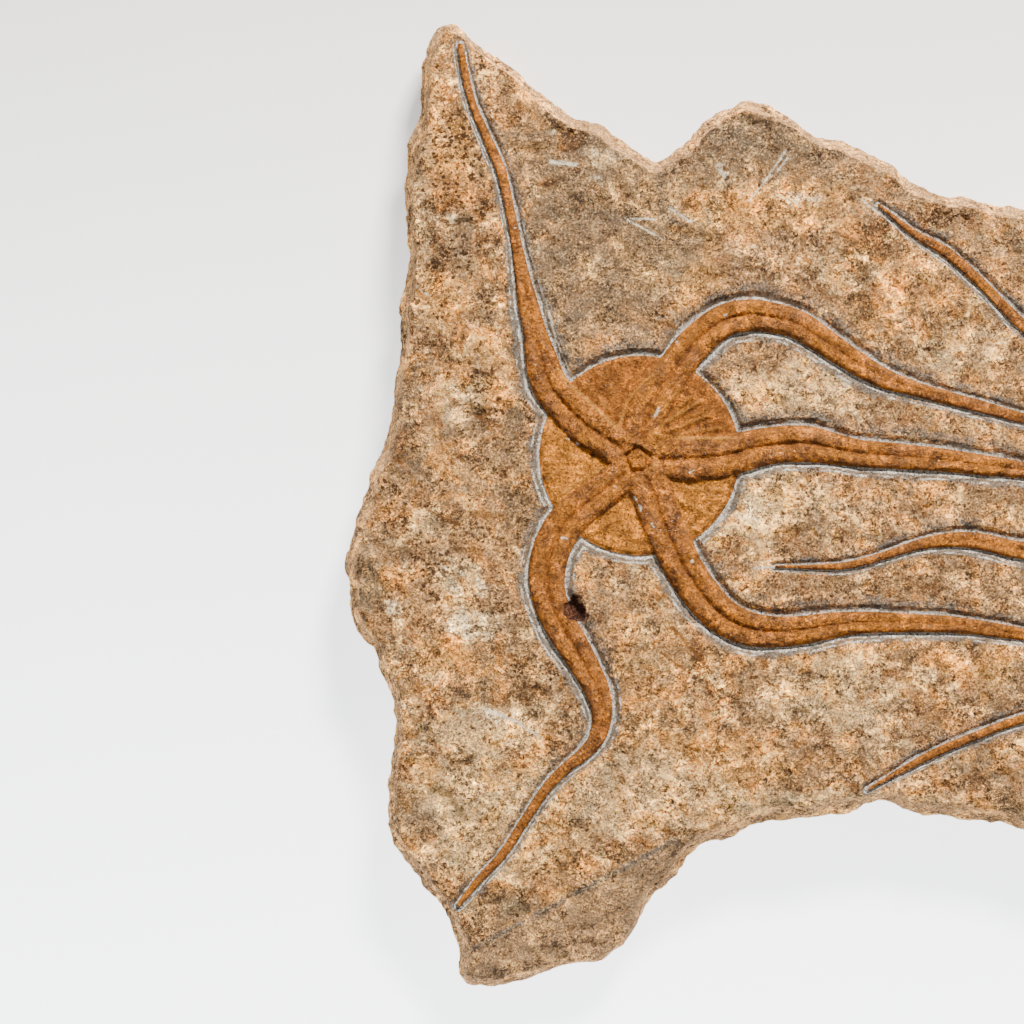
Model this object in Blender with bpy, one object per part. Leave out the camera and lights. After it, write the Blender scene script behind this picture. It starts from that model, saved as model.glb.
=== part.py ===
"""Brittle star fossil: a loose slab of rock with two brittle stars lying in the trenches cut round them.

The slab lies on its flat underside, fossils up. +X runs along the slab, +Y to its peaked edge and +Z up.
The origin is on the underside, in the middle of the slab's box. Lengths are millimetres until the
vertices are written, in metres. Run with: blender --background --python part.py
"""

import math
import random

import bmesh
import bpy
from mathutils import Vector
from mathutils.geometry import delaunay_2d_cdt

MM = 0.001

# ---- driving dimensions, in millimetres -----------------------------------------------------------

SLAB_THICKNESS = 24.0  # underside to the bedding surface
POCKET_FLOOR = 20.0  # height of the trench floor under both stars
FIT_GAP = 0.3  # clearance between a star and the rock, below it and beside it
TRENCH_WALL = 1.3  # how far the trench's sloping wall runs outwards
OUTLINE_STEP = 6.5  # longest edge along the slab's outline
SURFACE_STEP = 17.0  # distance between the points that carry the slab's swells
ARM_STEP = 5.6  # distance between an arm's cross-sections
SHORTEST_EDGE = 0.6  # outlines drop points that are closer together
RIM_BREAK = 2.0  # how far the bedding surface stops short of the slab's widest outline
LOWER_BREAK = 3.2  # what the edges that face -Y add to it
RIM_TO_TRENCH = 1.2  # what is left of the bedding surface where a trench ends at the slab's edge
UNDERCUT = 3.5  # how far the underside stops short of the widest outline
WIDEST_AT = 0.60  # height of the widest outline, as a share of the thickness
WAIST_AT = 0.28
CHIP = 0.9  # how far the broken edge wanders

DISC_RADIUS = 30.0
DISC_HEIGHT = 2.1  # the disc's leathery skin above the star's underside
DISC_RIM_HEIGHT = 1.3
DISC_RIM_WIDTH = 2.0
DISC_SAG = 0.4  # how far each sector sinks between two arms
ARM_HEIGHT = 3.7  # ridge top above the underside, at the disc
TIP_HEIGHT = 2.6
FULL_WIDTH = 11.5  # the arm width that has the full ridge height
RIDGE_AT = 0.45  # where the ridge stands, as a share of the half width
GROOVE_DEPTH = 0.9  # the middle groove below the two ridges, on a full-width arm
SLIM_ARM = 3.6  # an arm slimmer than this has one round back and no groove
EDGE_SHARE = 0.4  # height of an arm's edge, as a share of its ridge
HUB_RADIUS = 2.9
HUB_HEIGHT = 3.5
MOAT_RADIUS = 4.7  # ring groove round the hub
MOAT_HEIGHT = 2.7

# The widest outline of the slab, anticlockwise from its left peak. The right half is plain broken rock.
SLAB_OUTLINE = [
    (-182, 144.5), (-185.8, 139), (-187.8, 131), (-188, 119), (-191.5, 107.8), (-191.7, 100.8),
    (-192.8, 96), (-192.3, 81), (-191.8, 70.4), (-193.8, 58.4), (-193.6, 48.5), (-195.6, 38.5),
    (-196, 31), (-198, 19.6), (-202.3, 9.5), (-207.2, -5.3), (-210.5, -18.1), (-209.5, -24.8),
    (-209.2, -34.3), (-205, -41), (-201.2, -43.3), (-201.5, -47.4), (-197.7, -54.8), (-195.8, -62.2),
    (-196.8, -76.9), (-197.6, -84.6), (-198.3, -98), (-192.1, -108.3), (-188.3, -111.5),
    (-186.7, -115.3), (-182.5, -119.5), (-178.7, -128.1), (-175.3, -135.5), (-176.6, -140.3),
    (-175.2, -143.1), (-167, -144.5), (-158.8, -142.5), (-149.9, -139.9), (-134.5, -137.7),
    (-126.2, -131.6), (-122.8, -126.2), (-120.4, -118.2), (-115.2, -113.7), (-108.2, -106.4),
    (-103.6, -101.8), (-91.3, -98.2), (-85.2, -95.1), (-71.3, -93.9), (-58.2, -92.5), (-53.2, -89.1),
    (-45.5, -89.5), (-39.8, -92), (-30.5, -93.7), (-18.2, -95.1), (-10.5, -96), (-7.5, -98.2),
    (4, -103), (18, -106), (34, -110), (52, -116), (66, -124), (84, -130), (104, -134.5),
    (126, -137), (146, -138.5), (160, -135), (171, -127), (178, -114), (184, -98), (191, -84),
    (197, -66), (203, -49), (206, -30), (210.5, -12), (209, 6), (204, 24), (200, 40), (203, 55),
    (197, 71), (188, 82), (176, 92), (160, 101), (143, 106), (124, 111), (106, 109), (88, 103),
    (70, 99), (52, 97), (34, 92.5), (14, 88.5), (-7.5, 87.8), (-22, 91), (-36.1, 93.3),
    (-42.5, 97), (-45.7, 101.2), (-54.5, 104.7), (-61.1, 108), (-68.5, 109.5), (-75.5, 114.8),
    (-84.7, 119.4), (-91.7, 120.7), (-96.1, 118.3), (-103.4, 114.3), (-108.2, 107.3), (-113.4, 104),
    (-117.5, 101.3), (-122.7, 105), (-130.4, 109.9), (-134, 113.4), (-141.7, 115.1), (-150.2, 121.9),
    (-159.4, 129.7), (-171.4, 137.8), (-179.1, 144.2),
]

# Broad swells and hollows of the bedding surface: x, y, reach, height.
SWELLS = [
    (-175, -40, 45, 1.4), (-150, -105, 40, -1.1), (-172, 60, 38, 0.9), (-128, 80, 34, -1.0),
    (-80, 106, 34, -1.2), (-60, 78, 30, 0.8), (-60, -5, 40, 0.5), (-95, -75, 38, 0.8),
    (-20, -70, 42, -0.6), (20, 65, 45, 0.7), (70, -90, 50, 0.9), (165, 40, 42, -0.8),
    (185, -60, 45, 0.8), (120, 90, 36, -0.7),
]

# The foot at the lower left falls away beyond this line, which has the slab's body on its left.
FOOT_LINE = [(-172, -133), (-118, -104)]
FOOT_SLOPE = 0.34
FOOT_DROP = 6.0

# An arm is its smooth middle line from the mouth to the tip: x, y, width.
MAIN_CENTRE = (-122.5, 14.5)
MAIN_MOUTH = (-123.0, 13.0)
MAIN_ARMS = [
    [
        (-123, 13, 11.5), (-131, 18.5, 11.5), (-138, 23, 11.5), (-144.5, 29, 11.3), (-149.5, 35.5, 11),
        (-152.2, 44, 9.7), (-154, 52, 7), (-156, 60, 6.3), (-158, 70, 4.4), (-159.8, 80, 3.2),
        (-161.8, 90, 2.9), (-164.1, 100, 3.1), (-168.3, 110, 2.9), (-172.6, 120, 2.4),
        (-175, 130, 1.8), (-176.3, 137.5, 1.2),
    ],
    [
        (-123, 13, 10), (-130.5, 6, 10), (-137.5, 0.5, 10.5), (-144, -5, 11.3), (-148.3, -12, 11.5),
        (-150.3, -20, 11.2), (-149.8, -28, 10.5), (-146.5, -36, 10), (-142.3, -43, 9.5),
        (-138.3, -50, 8.5), (-135.3, -56, 7.6), (-133.8, -63, 6.3), (-135.2, -70, 5), (-139.3, -75, 4),
        (-145.5, -80, 3.4), (-151, -86, 3.1), (-157, -95, 2.9), (-163.5, -105, 2.7),
        (-170.5, -112.5, 2.4), (-176.2, -119.2, 1.2),
    ],
    [
        (-123, 13, 11.5), (-121.5, 22, 11.5), (-118.5, 31, 11.5), (-112.5, 39.5, 11),
        (-106.5, 47.5, 10.5), (-98, 54.5, 10), (-90, 56.6, 9.7), (-82, 55.8, 9.2), (-75, 53.8, 8.7),
        (-68, 49.3, 8.2), (-60, 43.9, 7.3), (-50, 38, 6.3), (-40, 34.5, 4.6), (-30, 31.7, 4.2),
        (-20, 29.1, 3.8), (-10, 26.3, 3.4), (2, 23.5, 2.9), (18, 20.5, 2.2), (33, 19, 1.2),
    ],
    [
        (-123, 13, 10), (-113, 13.2, 12), (-104, 13.5, 13.5), (-96, 14.5, 12.7), (-88, 16.5, 11.6),
        (-80, 17.8, 11.2), (-72, 17.9, 11), (-64, 16.4, 9.5), (-56, 15, 8.3), (-48, 14.5, 8),
        (-40, 13.8, 7.6), (-30, 12.9, 6.9), (-20, 11.6, 6.4), (-10, 10.4, 5.4), (4, 8, 4),
        (20, 5.5, 2.6), (38, 5, 1.2),
    ],
    [
        (-123, 13, 12.5), (-119.3, 5, 12.5), (-116.5, -3, 12.3), (-113.3, -11, 12), (-109.5, -19, 11.8),
        (-104.5, -26.5, 11.5), (-98, -33.5, 11), (-90, -37.5, 10.2), (-82, -38.5, 9.5),
        (-74, -38, 8.7), (-66, -36.7, 8), (-58, -35.8, 6.9), (-50, -35.6, 6.3), (-40, -35.9, 5.6),
        (-30, -36.2, 5.2), (-20, -37.3, 4.6), (-10, -38.8, 4), (2, -40.5, 3.2), (14, -41.5, 2.2),
        (24, -41.5, 1.2),
    ],
]
SECOND_CENTRE = (105.6, 22.0)
SECOND_ARMS = [
    [
        (105.6, 22, 11.5), (97, 33, 11.5), (86, 40, 11.3), (72, 43, 10.2), (56, 41.5, 8.6),
        (40, 38, 7.2), (24, 38, 6), (10, 42, 5), (0, 48, 4.2), (-10, 56, 3.5), (-20, 66.3, 3.2),
        (-30, 75.3, 3.4), (-40, 81.2, 2.4), (-51, 90, 1.2),
    ],
    [
        (105.6, 22, 11.5), (92, 15, 11.5), (79, 8, 11.5), (64, 1, 10.8), (46, -6.5, 9.6), (30, -11, 8.6),
        (15.6, -13.4, 7.4), (2, -14.5, 6.3), (-10, -13.7, 5.4), (-18, -11.8, 5.3), (-25, -10.8, 4.9),
        (-32, -11.1, 4.2), (-40, -12.7, 3.2), (-50, -15.9, 2.6), (-60, -18.5, 2.4), (-70, -19, 1.8),
        (-80, -18.8, 1.2),
    ],
    [
        (105.6, 22, 11.5), (108, 7, 11.5), (108.5, -8, 11.4), (104, -22, 10.6), (94, -35, 9.6),
        (80, -45, 8.2), (62, -51, 6.6), (42, -54, 5), (21.6, -57.2, 4), (4, -61.5, 3.2),
        (-10, -65.3, 2.8), (-20, -69, 2.8), (-30, -73, 2.8), (-40, -77.8, 2.4), (-53, -84.8, 1.2),
    ],
    [
        (105.6, 22, 11.5), (121, 19.5, 11.5), (136, 16, 11.3), (150, 8, 10.4), (160, -6, 9.4),
        (165, -22, 8), (166, -40, 6.4), (162, -58, 4.8), (154, -74, 3.6), (146, -88, 2.6),
        (142, -100, 1.2),
    ],
    [
        (105.6, 22, 11.5), (112.5, 35.5, 11.5), (120, 48, 11.2), (130, 59, 9.6), (143, 67, 7.2),
        (157, 71, 4.8), (170, 70, 2.8), (180, 64, 1.2),
    ],
]
# A broken pit at the edge of the main star's lower left arm: x, y, radius.
PIT = (-141.2, -31.5, 4.6)

ROCK_COLOUR = (0.52, 0.40, 0.28, 1.0)
STAR_COLOUR = (0.56, 0.26, 0.07, 1.0)
SECOND_STAR_COLOUR = (0.50, 0.23, 0.07, 1.0)


# ---- curves and outlines --------------------------------------------------------------------------


def smooth_route(points, step):
    """Evenly spaced points on a smooth curve through the given ones; each keeps its interpolated width."""
    fine = []
    knots = [Vector(p) for p in points]
    ends = [knots[0] * 2 - knots[1]] + knots + [knots[-1] * 2 - knots[-2]]
    for a, b, c, d in zip(ends, ends[1:], ends[2:], ends[3:]):
        for i in range(12):
            t = i / 12
            bend = (2 * a - 5 * b + 4 * c - d) * t * t + (3 * b - a - 3 * c + d) * t**3
            fine.append(b + ((c - a) * t + bend) / 2)
    fine.append(knots[-1])
    lengths = [0.0]
    for p, q in zip(fine, fine[1:]):
        lengths.append(lengths[-1] + (q.xy - p.xy).length)
    count = max(2, round(lengths[-1] / step))
    route = []
    k = 0
    for i in range(count + 1):
        s = lengths[-1] * i / count
        while k < len(fine) - 2 and lengths[k + 1] < s:
            k += 1
        route.append(fine[k].lerp(fine[k + 1], (s - lengths[k]) / (lengths[k + 1] - lengths[k])))
    return route


def side_points(route, share, extra=0.0):
    """The line beside a route: share of its half width to the left of it, and extra millimetres more."""
    line = []
    for i, p in enumerate(route):
        ahead = (route[min(i + 1, len(route) - 1)].xy - route[max(i - 1, 0)].xy).normalized()
        left = Vector((-ahead.y, ahead.x))
        line.append(p.xy + left * (p.z / 2 * share + math.copysign(extra, share)))
    return line


def strip(route, extra):
    """The closed outline of an arm, widened by extra on each side and at the tip."""
    right = side_points(route, -1.0, extra)
    left = side_points(route, 1.0, extra)
    tip = route[-1].xy + (route[-1].xy - route[-2].xy).normalized() * (route[-1].z / 2 + extra)
    return right + [tip] + left[::-1]


def circle(centre, radius, step):
    count = max(10, round(math.tau * radius / step))
    angles = [math.tau * i / count for i in range(count)]
    return [Vector((centre[0] + radius * math.cos(a), centre[1] + radius * math.sin(a))) for a in angles]


def loop_area(loop):
    return sum(p.x * q.y - q.x * p.y for p, q in zip(loop, loop[1:] + loop[:1])) / 2


def outline_of(shapes):
    """The outer outline, anticlockwise, of several flat shapes that overlap."""
    verts, faces = [], []
    for shape in shapes:
        faces.append([len(verts) + i for i in range(len(shape))])
        verts.extend(shape)
    flat, _, triangles, *_ = delaunay_2d_cdt(verts, [], faces, 1, 0.02)
    onward = {}
    for tri in triangles:
        for a, b in zip(tri, tri[1:] + tri[:1]):
            onward[(a, b)] = True
    follows = {a: b for a, b in onward if (b, a) not in onward}
    loops = []
    while follows:
        start, here = follows.popitem()
        loop = [start]
        while here != start:
            loop.append(here)
            here = follows.pop(here)
        loops.append([flat[i] for i in loop])
    widest = max(loops, key=lambda loop: abs(loop_area(loop)))
    if loop_area(widest) < 0:
        widest.reverse()
    return without_short_edges(widest, SHORTEST_EDGE)


def without_short_edges(loop, shortest):
    kept = []
    for p in loop:
        if not kept or (p - kept[-1]).length > shortest:
            kept.append(p)
    return kept


# ---- heights --------------------------------------------------------------------------------------


def surface_height(x, y):
    """The bedding surface of the slab."""
    swell = sum(h * math.exp(-((x - a) ** 2 + (y - b) ** 2) / reach**2) for a, b, reach, h in SWELLS)
    ripple = 0.25 * math.sin(x / 9.0 + y / 23.0) * math.cos(y / 11.0 - x / 31.0)
    (ax, ay), (bx, by) = FOOT_LINE
    beyond = ((bx - ax) * (ay - y) - (by - ay) * (ax - x)) / math.hypot(bx - ax, by - ay)
    drop = min(max(beyond, 0.0) * FOOT_SLOPE, FOOT_DROP) if x < bx + 6 else 0.0
    return SLAB_THICKNESS + swell + ripple - drop


def arm_height(width, across):
    """Height of an arm above the star's underside; across is 0 in its middle and 1 at its edge."""
    fullness = min(width / FULL_WIDTH, 1.0)
    ridge = TIP_HEIGHT + (ARM_HEIGHT - TIP_HEIGHT) * fullness
    if width < SLIM_ARM:
        return ridge * (1 - (1 - EDGE_SHARE) * across**2)
    if across < RIDGE_AT:
        return ridge - GROOVE_DEPTH * fullness * (1 - across / RIDGE_AT)
    fall = (across - RIDGE_AT) / (1 - RIDGE_AT)
    return ridge * (1 - (1 - EDGE_SHARE) * fall**1.5)


def beside(route, p):
    """Where a point lies on an arm: the arm's width there and how far across it the point is."""
    best = None
    for a, b in zip(route, route[1:]):
        run = b.xy - a.xy
        t = min(max((p - a.xy).dot(run) / run.length_squared, 0.0), 1.0)
        here = a.lerp(b, t)
        off = (p - here.xy).length
        if best is None or off < best[0]:
            best = (off, here.z)
    return best[1], best[0] / (best[1] / 2)


def star_height(centre, mouth, routes, p):
    """Height of a star's upper face above its underside at p."""
    from_centre = (p - Vector(centre)).length
    height = 0.0
    if from_centre <= DISC_RADIUS + 0.01:
        rim = max(0.0, (from_centre - DISC_RADIUS + DISC_RIM_WIDTH) / DISC_RIM_WIDTH)
        sag = DISC_SAG * math.sin(math.pi * min(from_centre / DISC_RADIUS, 1.0))
        height = DISC_HEIGHT - sag * (1 - rim) - (DISC_HEIGHT - DISC_RIM_HEIGHT) * rim
    for route in routes:
        width, across = beside(route, p)
        if across <= 1.02:
            height = max(height, arm_height(width, min(across, 1.0)))
    from_mouth = (p - Vector(mouth)).length
    if from_mouth < HUB_RADIUS + 0.1:
        height = HUB_HEIGHT
    elif from_mouth < MOAT_RADIUS + 0.1:
        height = MOAT_HEIGHT
    return max(height, DISC_RIM_HEIGHT)


# ---- solids ---------------------------------------------------------------------------------------


def upper_sheet(loops, lines, points, height):
    """A bmesh of the ground inside loops[0], with the other loops, the lines and the points on it.

    height(p, loop) gives a vertex's height; loop is the number of the loop that it is on, or None.
    Returns the bmesh and the vertices of the outer loop, in order.
    """
    verts, edges, faces, owner = [], [], [], []
    for number, loop in enumerate(loops):
        faces.append([len(verts) + i for i in range(len(loop))])
        verts.extend(loop)
        owner.extend([number] * len(loop))
    for line in lines:
        edges.extend((len(verts) + i, len(verts) + i + 1) for i in range(len(line) - 1))
        verts.extend(line)
        owner.extend([None] * len(line))
    verts.extend(points)
    owner.extend([None] * len(points))
    flat, _, triangles, sources, *_ = delaunay_2d_cdt(verts, edges, faces, 1, 0.02)
    bm = bmesh.new()
    made = []
    place = {}
    for p, source in zip(flat, sources):
        owners = [owner[i] for i in source if owner[i] is not None]
        made.append(bm.verts.new((p.x, p.y, height(p, owners[0] if owners else None))))
        place.update((i, made[-1]) for i in source)
    for tri in triangles:
        bm.faces.new([made[i] for i in tri])
    loose = [v for v in bm.verts if not v.link_faces]
    bmesh.ops.delete(bm, geom=loose, context="VERTS")
    return bm, [place[i] for i in range(len(loops[0]))]


def close_below(bm, ring, lower_rings):
    """Walls from the sheet's outer vertices down through lower_rings, and a flat cap on the last."""
    above = ring
    for lower in lower_rings:
        below = [bm.verts.new(p) for p in lower]
        for i in range(len(above)):
            j = (i + 1) % len(above)
            bm.faces.new((above[j], above[i], below[i], below[j]))
        above = below
    bm.faces.new(above[::-1])


def add_solid(name, bm, colour, roughness):
    for v in bm.verts:
        v.co *= MM
    bmesh.ops.triangulate(bm, faces=bm.faces[:])
    bmesh.ops.recalc_face_normals(bm, faces=bm.faces[:])
    mesh = bpy.data.meshes.new(name)
    bm.to_mesh(mesh)
    bm.free()
    material = bpy.data.materials.new(name)
    material.use_nodes = True
    shader = material.node_tree.nodes["Principled BSDF"]
    shader.inputs["Base Color"].default_value = colour
    shader.inputs["Roughness"].default_value = roughness
    shader.inputs["Metallic"].default_value = 0.0
    mesh.materials.append(material)
    body = bpy.data.objects.new(name, mesh)
    bpy.context.scene.collection.objects.link(body)
    return body


# ---- the slab -------------------------------------------------------------------------------------


def broken_outline(rng):
    """The slab's widest outline with every long edge divided and its new points chipped in or out."""
    outline = []
    corners = [Vector(p) for p in SLAB_OUTLINE]
    for a, b in zip(corners, corners[1:] + corners[:1]):
        outline.append(a)
        parts = round((b - a).length / OUTLINE_STEP)
        outward = Vector((b.y - a.y, a.x - b.x)).normalized()
        for i in range(1, parts):
            outline.append(a.lerp(b, i / parts) + outward * rng.uniform(-CHIP, 0.6 * CHIP))
    return outline


def outward_normals(outline):
    """The outward direction at each point, evened out over its neighbours."""
    count = len(outline)
    normals = []
    for i in range(count):
        run = outline[(i + 3) % count] - outline[(i - 3) % count]
        normals.append(Vector((run.y, -run.x)).normalized())
    return normals


def matrix_slab(star_loops):
    """The rock, with a trench for each star: star_loops has each star's trench rim and floor."""
    rng = random.Random(7)
    widest = broken_outline(rng)
    normals = outward_normals(widest)
    rim, middle, waist, underside = [], [], [], []
    for p, out in zip(widest, normals):
        inset = RIM_BREAK + LOWER_BREAK * max(0.0, -out.y) + rng.uniform(-0.5, 0.9)
        room = min(clearance(p, pair[0]) for pair in star_loops) - RIM_TO_TRENCH
        rim.append(p - out * min(inset, room))
        middle.append((*p, SLAB_THICKNESS * WIDEST_AT + rng.uniform(-2.2, 2.2)))
        waist.append((*(p - out * rng.uniform(0.5, 2.4)), SLAB_THICKNESS * WAIST_AT + rng.uniform(-2, 2)))
        underside.append((*(p - out * (UNDERCUT + rng.uniform(-0.8, 1.2))), 0.0))
    loops = [rim] + [loop for pair in star_loops for loop in pair]
    floors = set(range(2, len(loops), 2))

    def height(p, loop):
        return POCKET_FLOOR if loop in floors else surface_height(p.x, p.y)

    points = []
    rows = round(289 / SURFACE_STEP)
    columns = round(421 / SURFACE_STEP)
    for row in range(rows + 1):
        for column in range(columns + 1):
            x = -210 + SURFACE_STEP * (column + 0.5 * (row % 2)) + rng.uniform(-3, 3)
            y = -144 + SURFACE_STEP * row + rng.uniform(-3, 3)
            p = Vector((x, y))
            if inside(p, rim) and all(clearance(p, loop) > 6.0 for loop in loops):
                if not any(inside(p, pair[0]) for pair in star_loops):
                    points.append(p)
    bm, ring = upper_sheet(loops, [], points, height)
    close_below(bm, ring, [middle, waist, underside])
    return add_solid("matrix_slab", bm, ROCK_COLOUR, 0.9)


def inside(p, loop):
    """True if p is inside the closed loop, by counting the edges that a ray towards +X crosses."""
    crossings = 0
    for a, b in zip(loop, loop[1:] + loop[:1]):
        if (a.y > p.y) != (b.y > p.y) and p.x < a.x + (p.y - a.y) / (b.y - a.y) * (b.x - a.x):
            crossings += 1
    return crossings % 2 == 1


def clearance(p, loop):
    return min((p - q).length for q in loop)


# ---- the stars ------------------------------------------------------------------------------------


def star_outline(centre, routes, extra, pits=()):
    """The outline of a star's five arms and disc, widened all round by extra."""
    shapes = [strip(route, extra) for route in routes]
    shapes.append(circle(centre, DISC_RADIUS + extra, ARM_STEP))
    shapes.extend(circle(pit[:2], pit[2] + extra, 3.5) for pit in pits)
    return outline_of(shapes)


def crest_lines(centre, routes, keep_in):
    """The lines that carry an arm's form: its groove, its two ridges and, on the disc, its two feet."""
    lines = []
    for route in routes:
        for share in (0.0, RIDGE_AT, -RIDGE_AT, 0.93, -0.93):
            line = []
            for p, width in zip(side_points(route, share)[:-1], (q.z for q in route)):
                on_disc = (p - Vector(centre)).length < DISC_RADIUS - 2.5
                wanted = share == 0.0 or (on_disc if abs(share) > 0.9 else width > SLIM_ARM)
                clear = all(beside(other, p)[1] > 1.12 for other in routes if other is not route)
                if wanted and clear and clearance(p, keep_in) > 0.25 * min(width, 4.0):
                    line.append(p)
                elif len(line) > 1:
                    lines.append(line)
                    line = []
                else:
                    line = []
            if len(line) > 1:
                lines.append(line)
    return lines


def sector_points(centre, routes):
    """Points on the disc's skin, between the arms."""
    points = []
    for radius in (DISC_RADIUS - DISC_RIM_WIDTH, 0.62 * DISC_RADIUS):
        for p in circle(centre, radius, 1.5 * ARM_STEP):
            if all(beside(route, p)[1] > 1.25 for route in routes):
                points.append(p)
    return points


def brittle_star(name, centre, mouth, routes, colour):
    outline = star_outline(centre, routes, 0.0)
    underside = POCKET_FLOOR + FIT_GAP

    def height(p, loop):
        return underside + star_height(centre, mouth, routes, p)

    hub = [p for radius in (HUB_RADIUS, MOAT_RADIUS) for p in circle(mouth, radius, 3.0)]
    points = [Vector(mouth)] + hub + sector_points(centre, routes)
    lines = crest_lines(centre, routes, outline)
    far = [[p for p in line if (p - Vector(mouth)).length > MOAT_RADIUS + 1.0] for line in lines]
    bm, ring = upper_sheet([outline], [line for line in far if len(line) > 1], points, height)
    close_below(bm, ring, [[(p.x, p.y, underside) for p in outline]])
    return add_solid(name, bm, colour, 0.75)


def trench(centre, routes, pits=()):
    """A star's trench: its rim on the bedding surface and the outline of its floor."""
    floor = star_outline(centre, routes, FIT_GAP + 0.1, pits)
    rim = star_outline(centre, routes, FIT_GAP + 0.1 + TRENCH_WALL, pits)
    return rim, floor


def build():
    for old in list(bpy.data.objects):
        bpy.data.objects.remove(old, do_unlink=True)
    main_routes = [smooth_route(points, ARM_STEP) for points in MAIN_ARMS]
    second_routes = [smooth_route(points, ARM_STEP) for points in SECOND_ARMS]
    main_trench = trench(MAIN_CENTRE, main_routes, [PIT])
    second_trench = trench(SECOND_CENTRE, second_routes)
    matrix_slab([main_trench, second_trench])
    brittle_star("brittle_star", MAIN_CENTRE, MAIN_MOUTH, main_routes, STAR_COLOUR)
    brittle_star("second_brittle_star", SECOND_CENTRE, SECOND_CENTRE, second_routes, SECOND_STAR_COLOUR)


build()
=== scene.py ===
"""The looks of the brittle star fossil: a gritty slab of rock with two iron-stained brittle stars in it.

Lengths are millimetres up to the point where a mesh is written, in metres, as in the frame. +X runs along
the slab, +Y to its peaked edge and +Z up, out of the face with the stars.
"""

import math

import bpy
import numpy as np
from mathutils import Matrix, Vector, noise


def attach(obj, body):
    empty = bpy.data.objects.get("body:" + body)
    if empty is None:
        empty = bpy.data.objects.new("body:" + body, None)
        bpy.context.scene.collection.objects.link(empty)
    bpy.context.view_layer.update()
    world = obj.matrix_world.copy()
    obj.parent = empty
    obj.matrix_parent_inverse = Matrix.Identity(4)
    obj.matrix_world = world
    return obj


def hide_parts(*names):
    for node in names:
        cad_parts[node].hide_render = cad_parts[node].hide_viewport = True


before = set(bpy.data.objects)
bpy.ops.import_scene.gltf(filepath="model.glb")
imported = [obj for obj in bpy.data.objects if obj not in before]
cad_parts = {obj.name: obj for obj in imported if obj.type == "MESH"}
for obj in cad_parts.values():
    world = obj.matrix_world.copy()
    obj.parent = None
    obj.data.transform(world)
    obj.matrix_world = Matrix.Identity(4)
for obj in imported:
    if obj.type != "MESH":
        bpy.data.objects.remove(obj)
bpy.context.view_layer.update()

MM = 0.001

# ---- sizes and places, in millimetres ----

SLAB_THICKNESS = 24.0
SLAB_REACH = (210, 144)  # half the slab's length and breadth
POCKET_FLOOR = 20.0  # height of the CAD trench floor
SLAB_VOXEL = 2.2
SLAB_CUT = 0.4  # the remeshed slab is cut flat at this height
UNDERSIDE_CELL = 6
UNDERSIDE_HOLLOW = 1.4  # the deepest hollow in the underside
SHOWN_EDGE = 6.0  # the slab is modelled finer to the left of this x
STAR_VOXEL = 0.46
SECOND_STAR_VOXEL = 0.62
STAR_CUT = -0.25  # the joined star is cut flat at this height
ROUTE_STEP = 2.4
ROUTE_REACH = 14.0  # a point farther than this beyond a route's bounds isn't measured against it

DISC_RADIUS = 30.0
FULL_WIDTH = 11.5
TRENCH_DEPTH = 1.6  # at a full-width arm, below the bedding surface
TIP_TRENCH_DEPTH = 0.7
TRENCH_WALL = 1.7  # how far a full-width arm's trench wall leans out
TRENCH_LEAN = 0.4  # how much farther it leans out on the +Y side
DITCH_DEPTH = 0.35  # the shallow ditch that rings a trench
PIT_DEPTH = 2.6
RELIEF = 1.15  # how rough the bedding surface is
RIPPLE_HEIGHT = 0.25  # the bedding surface's fine ripple, as in the frame
LOW_BAND = 3.0  # below this height, no trench and no pit colours the rock
RIDGE_HEIGHT = 2.8  # an arm's ridge above the trench floor, at full width
TIP_RIDGE_HEIGHT = 1.1
EDGE_HEIGHT = 0.6
SKIN_HEIGHT = 0.75  # the disc's leathery skin between the arms
HUB_RADIUS = 2.7
HUB_TURN = 0.98  # radians to the middle of one of the hub's five sides
MOAT_RADIUS = 3.7
RIB_SPACING = 1.25

MAIN_CENTRE = (-122.5, 14.5)
MAIN_MOUTH = (-123.0, 13.0)
SECOND_CENTRE = (105.6, 22.0)

VIEW_CENTRE = (-160.8, -2.55, 24.0)  # what the middle of the frame looks at
VIEW_WIDTH = 307.2  # how much of the slab's plane the frame spans
VIEW_DISTANCE = 2200.0
VIEW_TILT = 2.0  # degrees from straight above towards -Y
SMOOTH_ANGLE = 50  # degrees; a steeper edge is shaded sharp

# Broad swells and hollows of the bedding surface: x, y, reach, height.
SWELLS = [
    (-175, -40, 45, 1.4), (-150, -105, 40, -1.1), (-172, 60, 38, 0.9), (-128, 80, 34, -1.0),
    (-80, 106, 34, -1.2), (-60, 78, 30, 0.8), (-60, -5, 40, 0.5), (-95, -75, 38, 0.8),
    (-20, -70, 42, -0.6), (20, 65, 45, 0.7), (70, -90, 50, 0.9), (165, 40, 42, -0.8),
    (185, -60, 45, 0.8), (120, 90, 36, -0.7),
]
# The foot at the lower left falls away beyond this line, which has the slab's body on its left.
FOOT_LINE = [(-172, -133), (-118, -104)]
FOOT_SLOPE = 0.46
FOOT_DROP = 8.0
FOOT_PUSH = 1.2  # how much farther the foot's -Y side stands out

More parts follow.
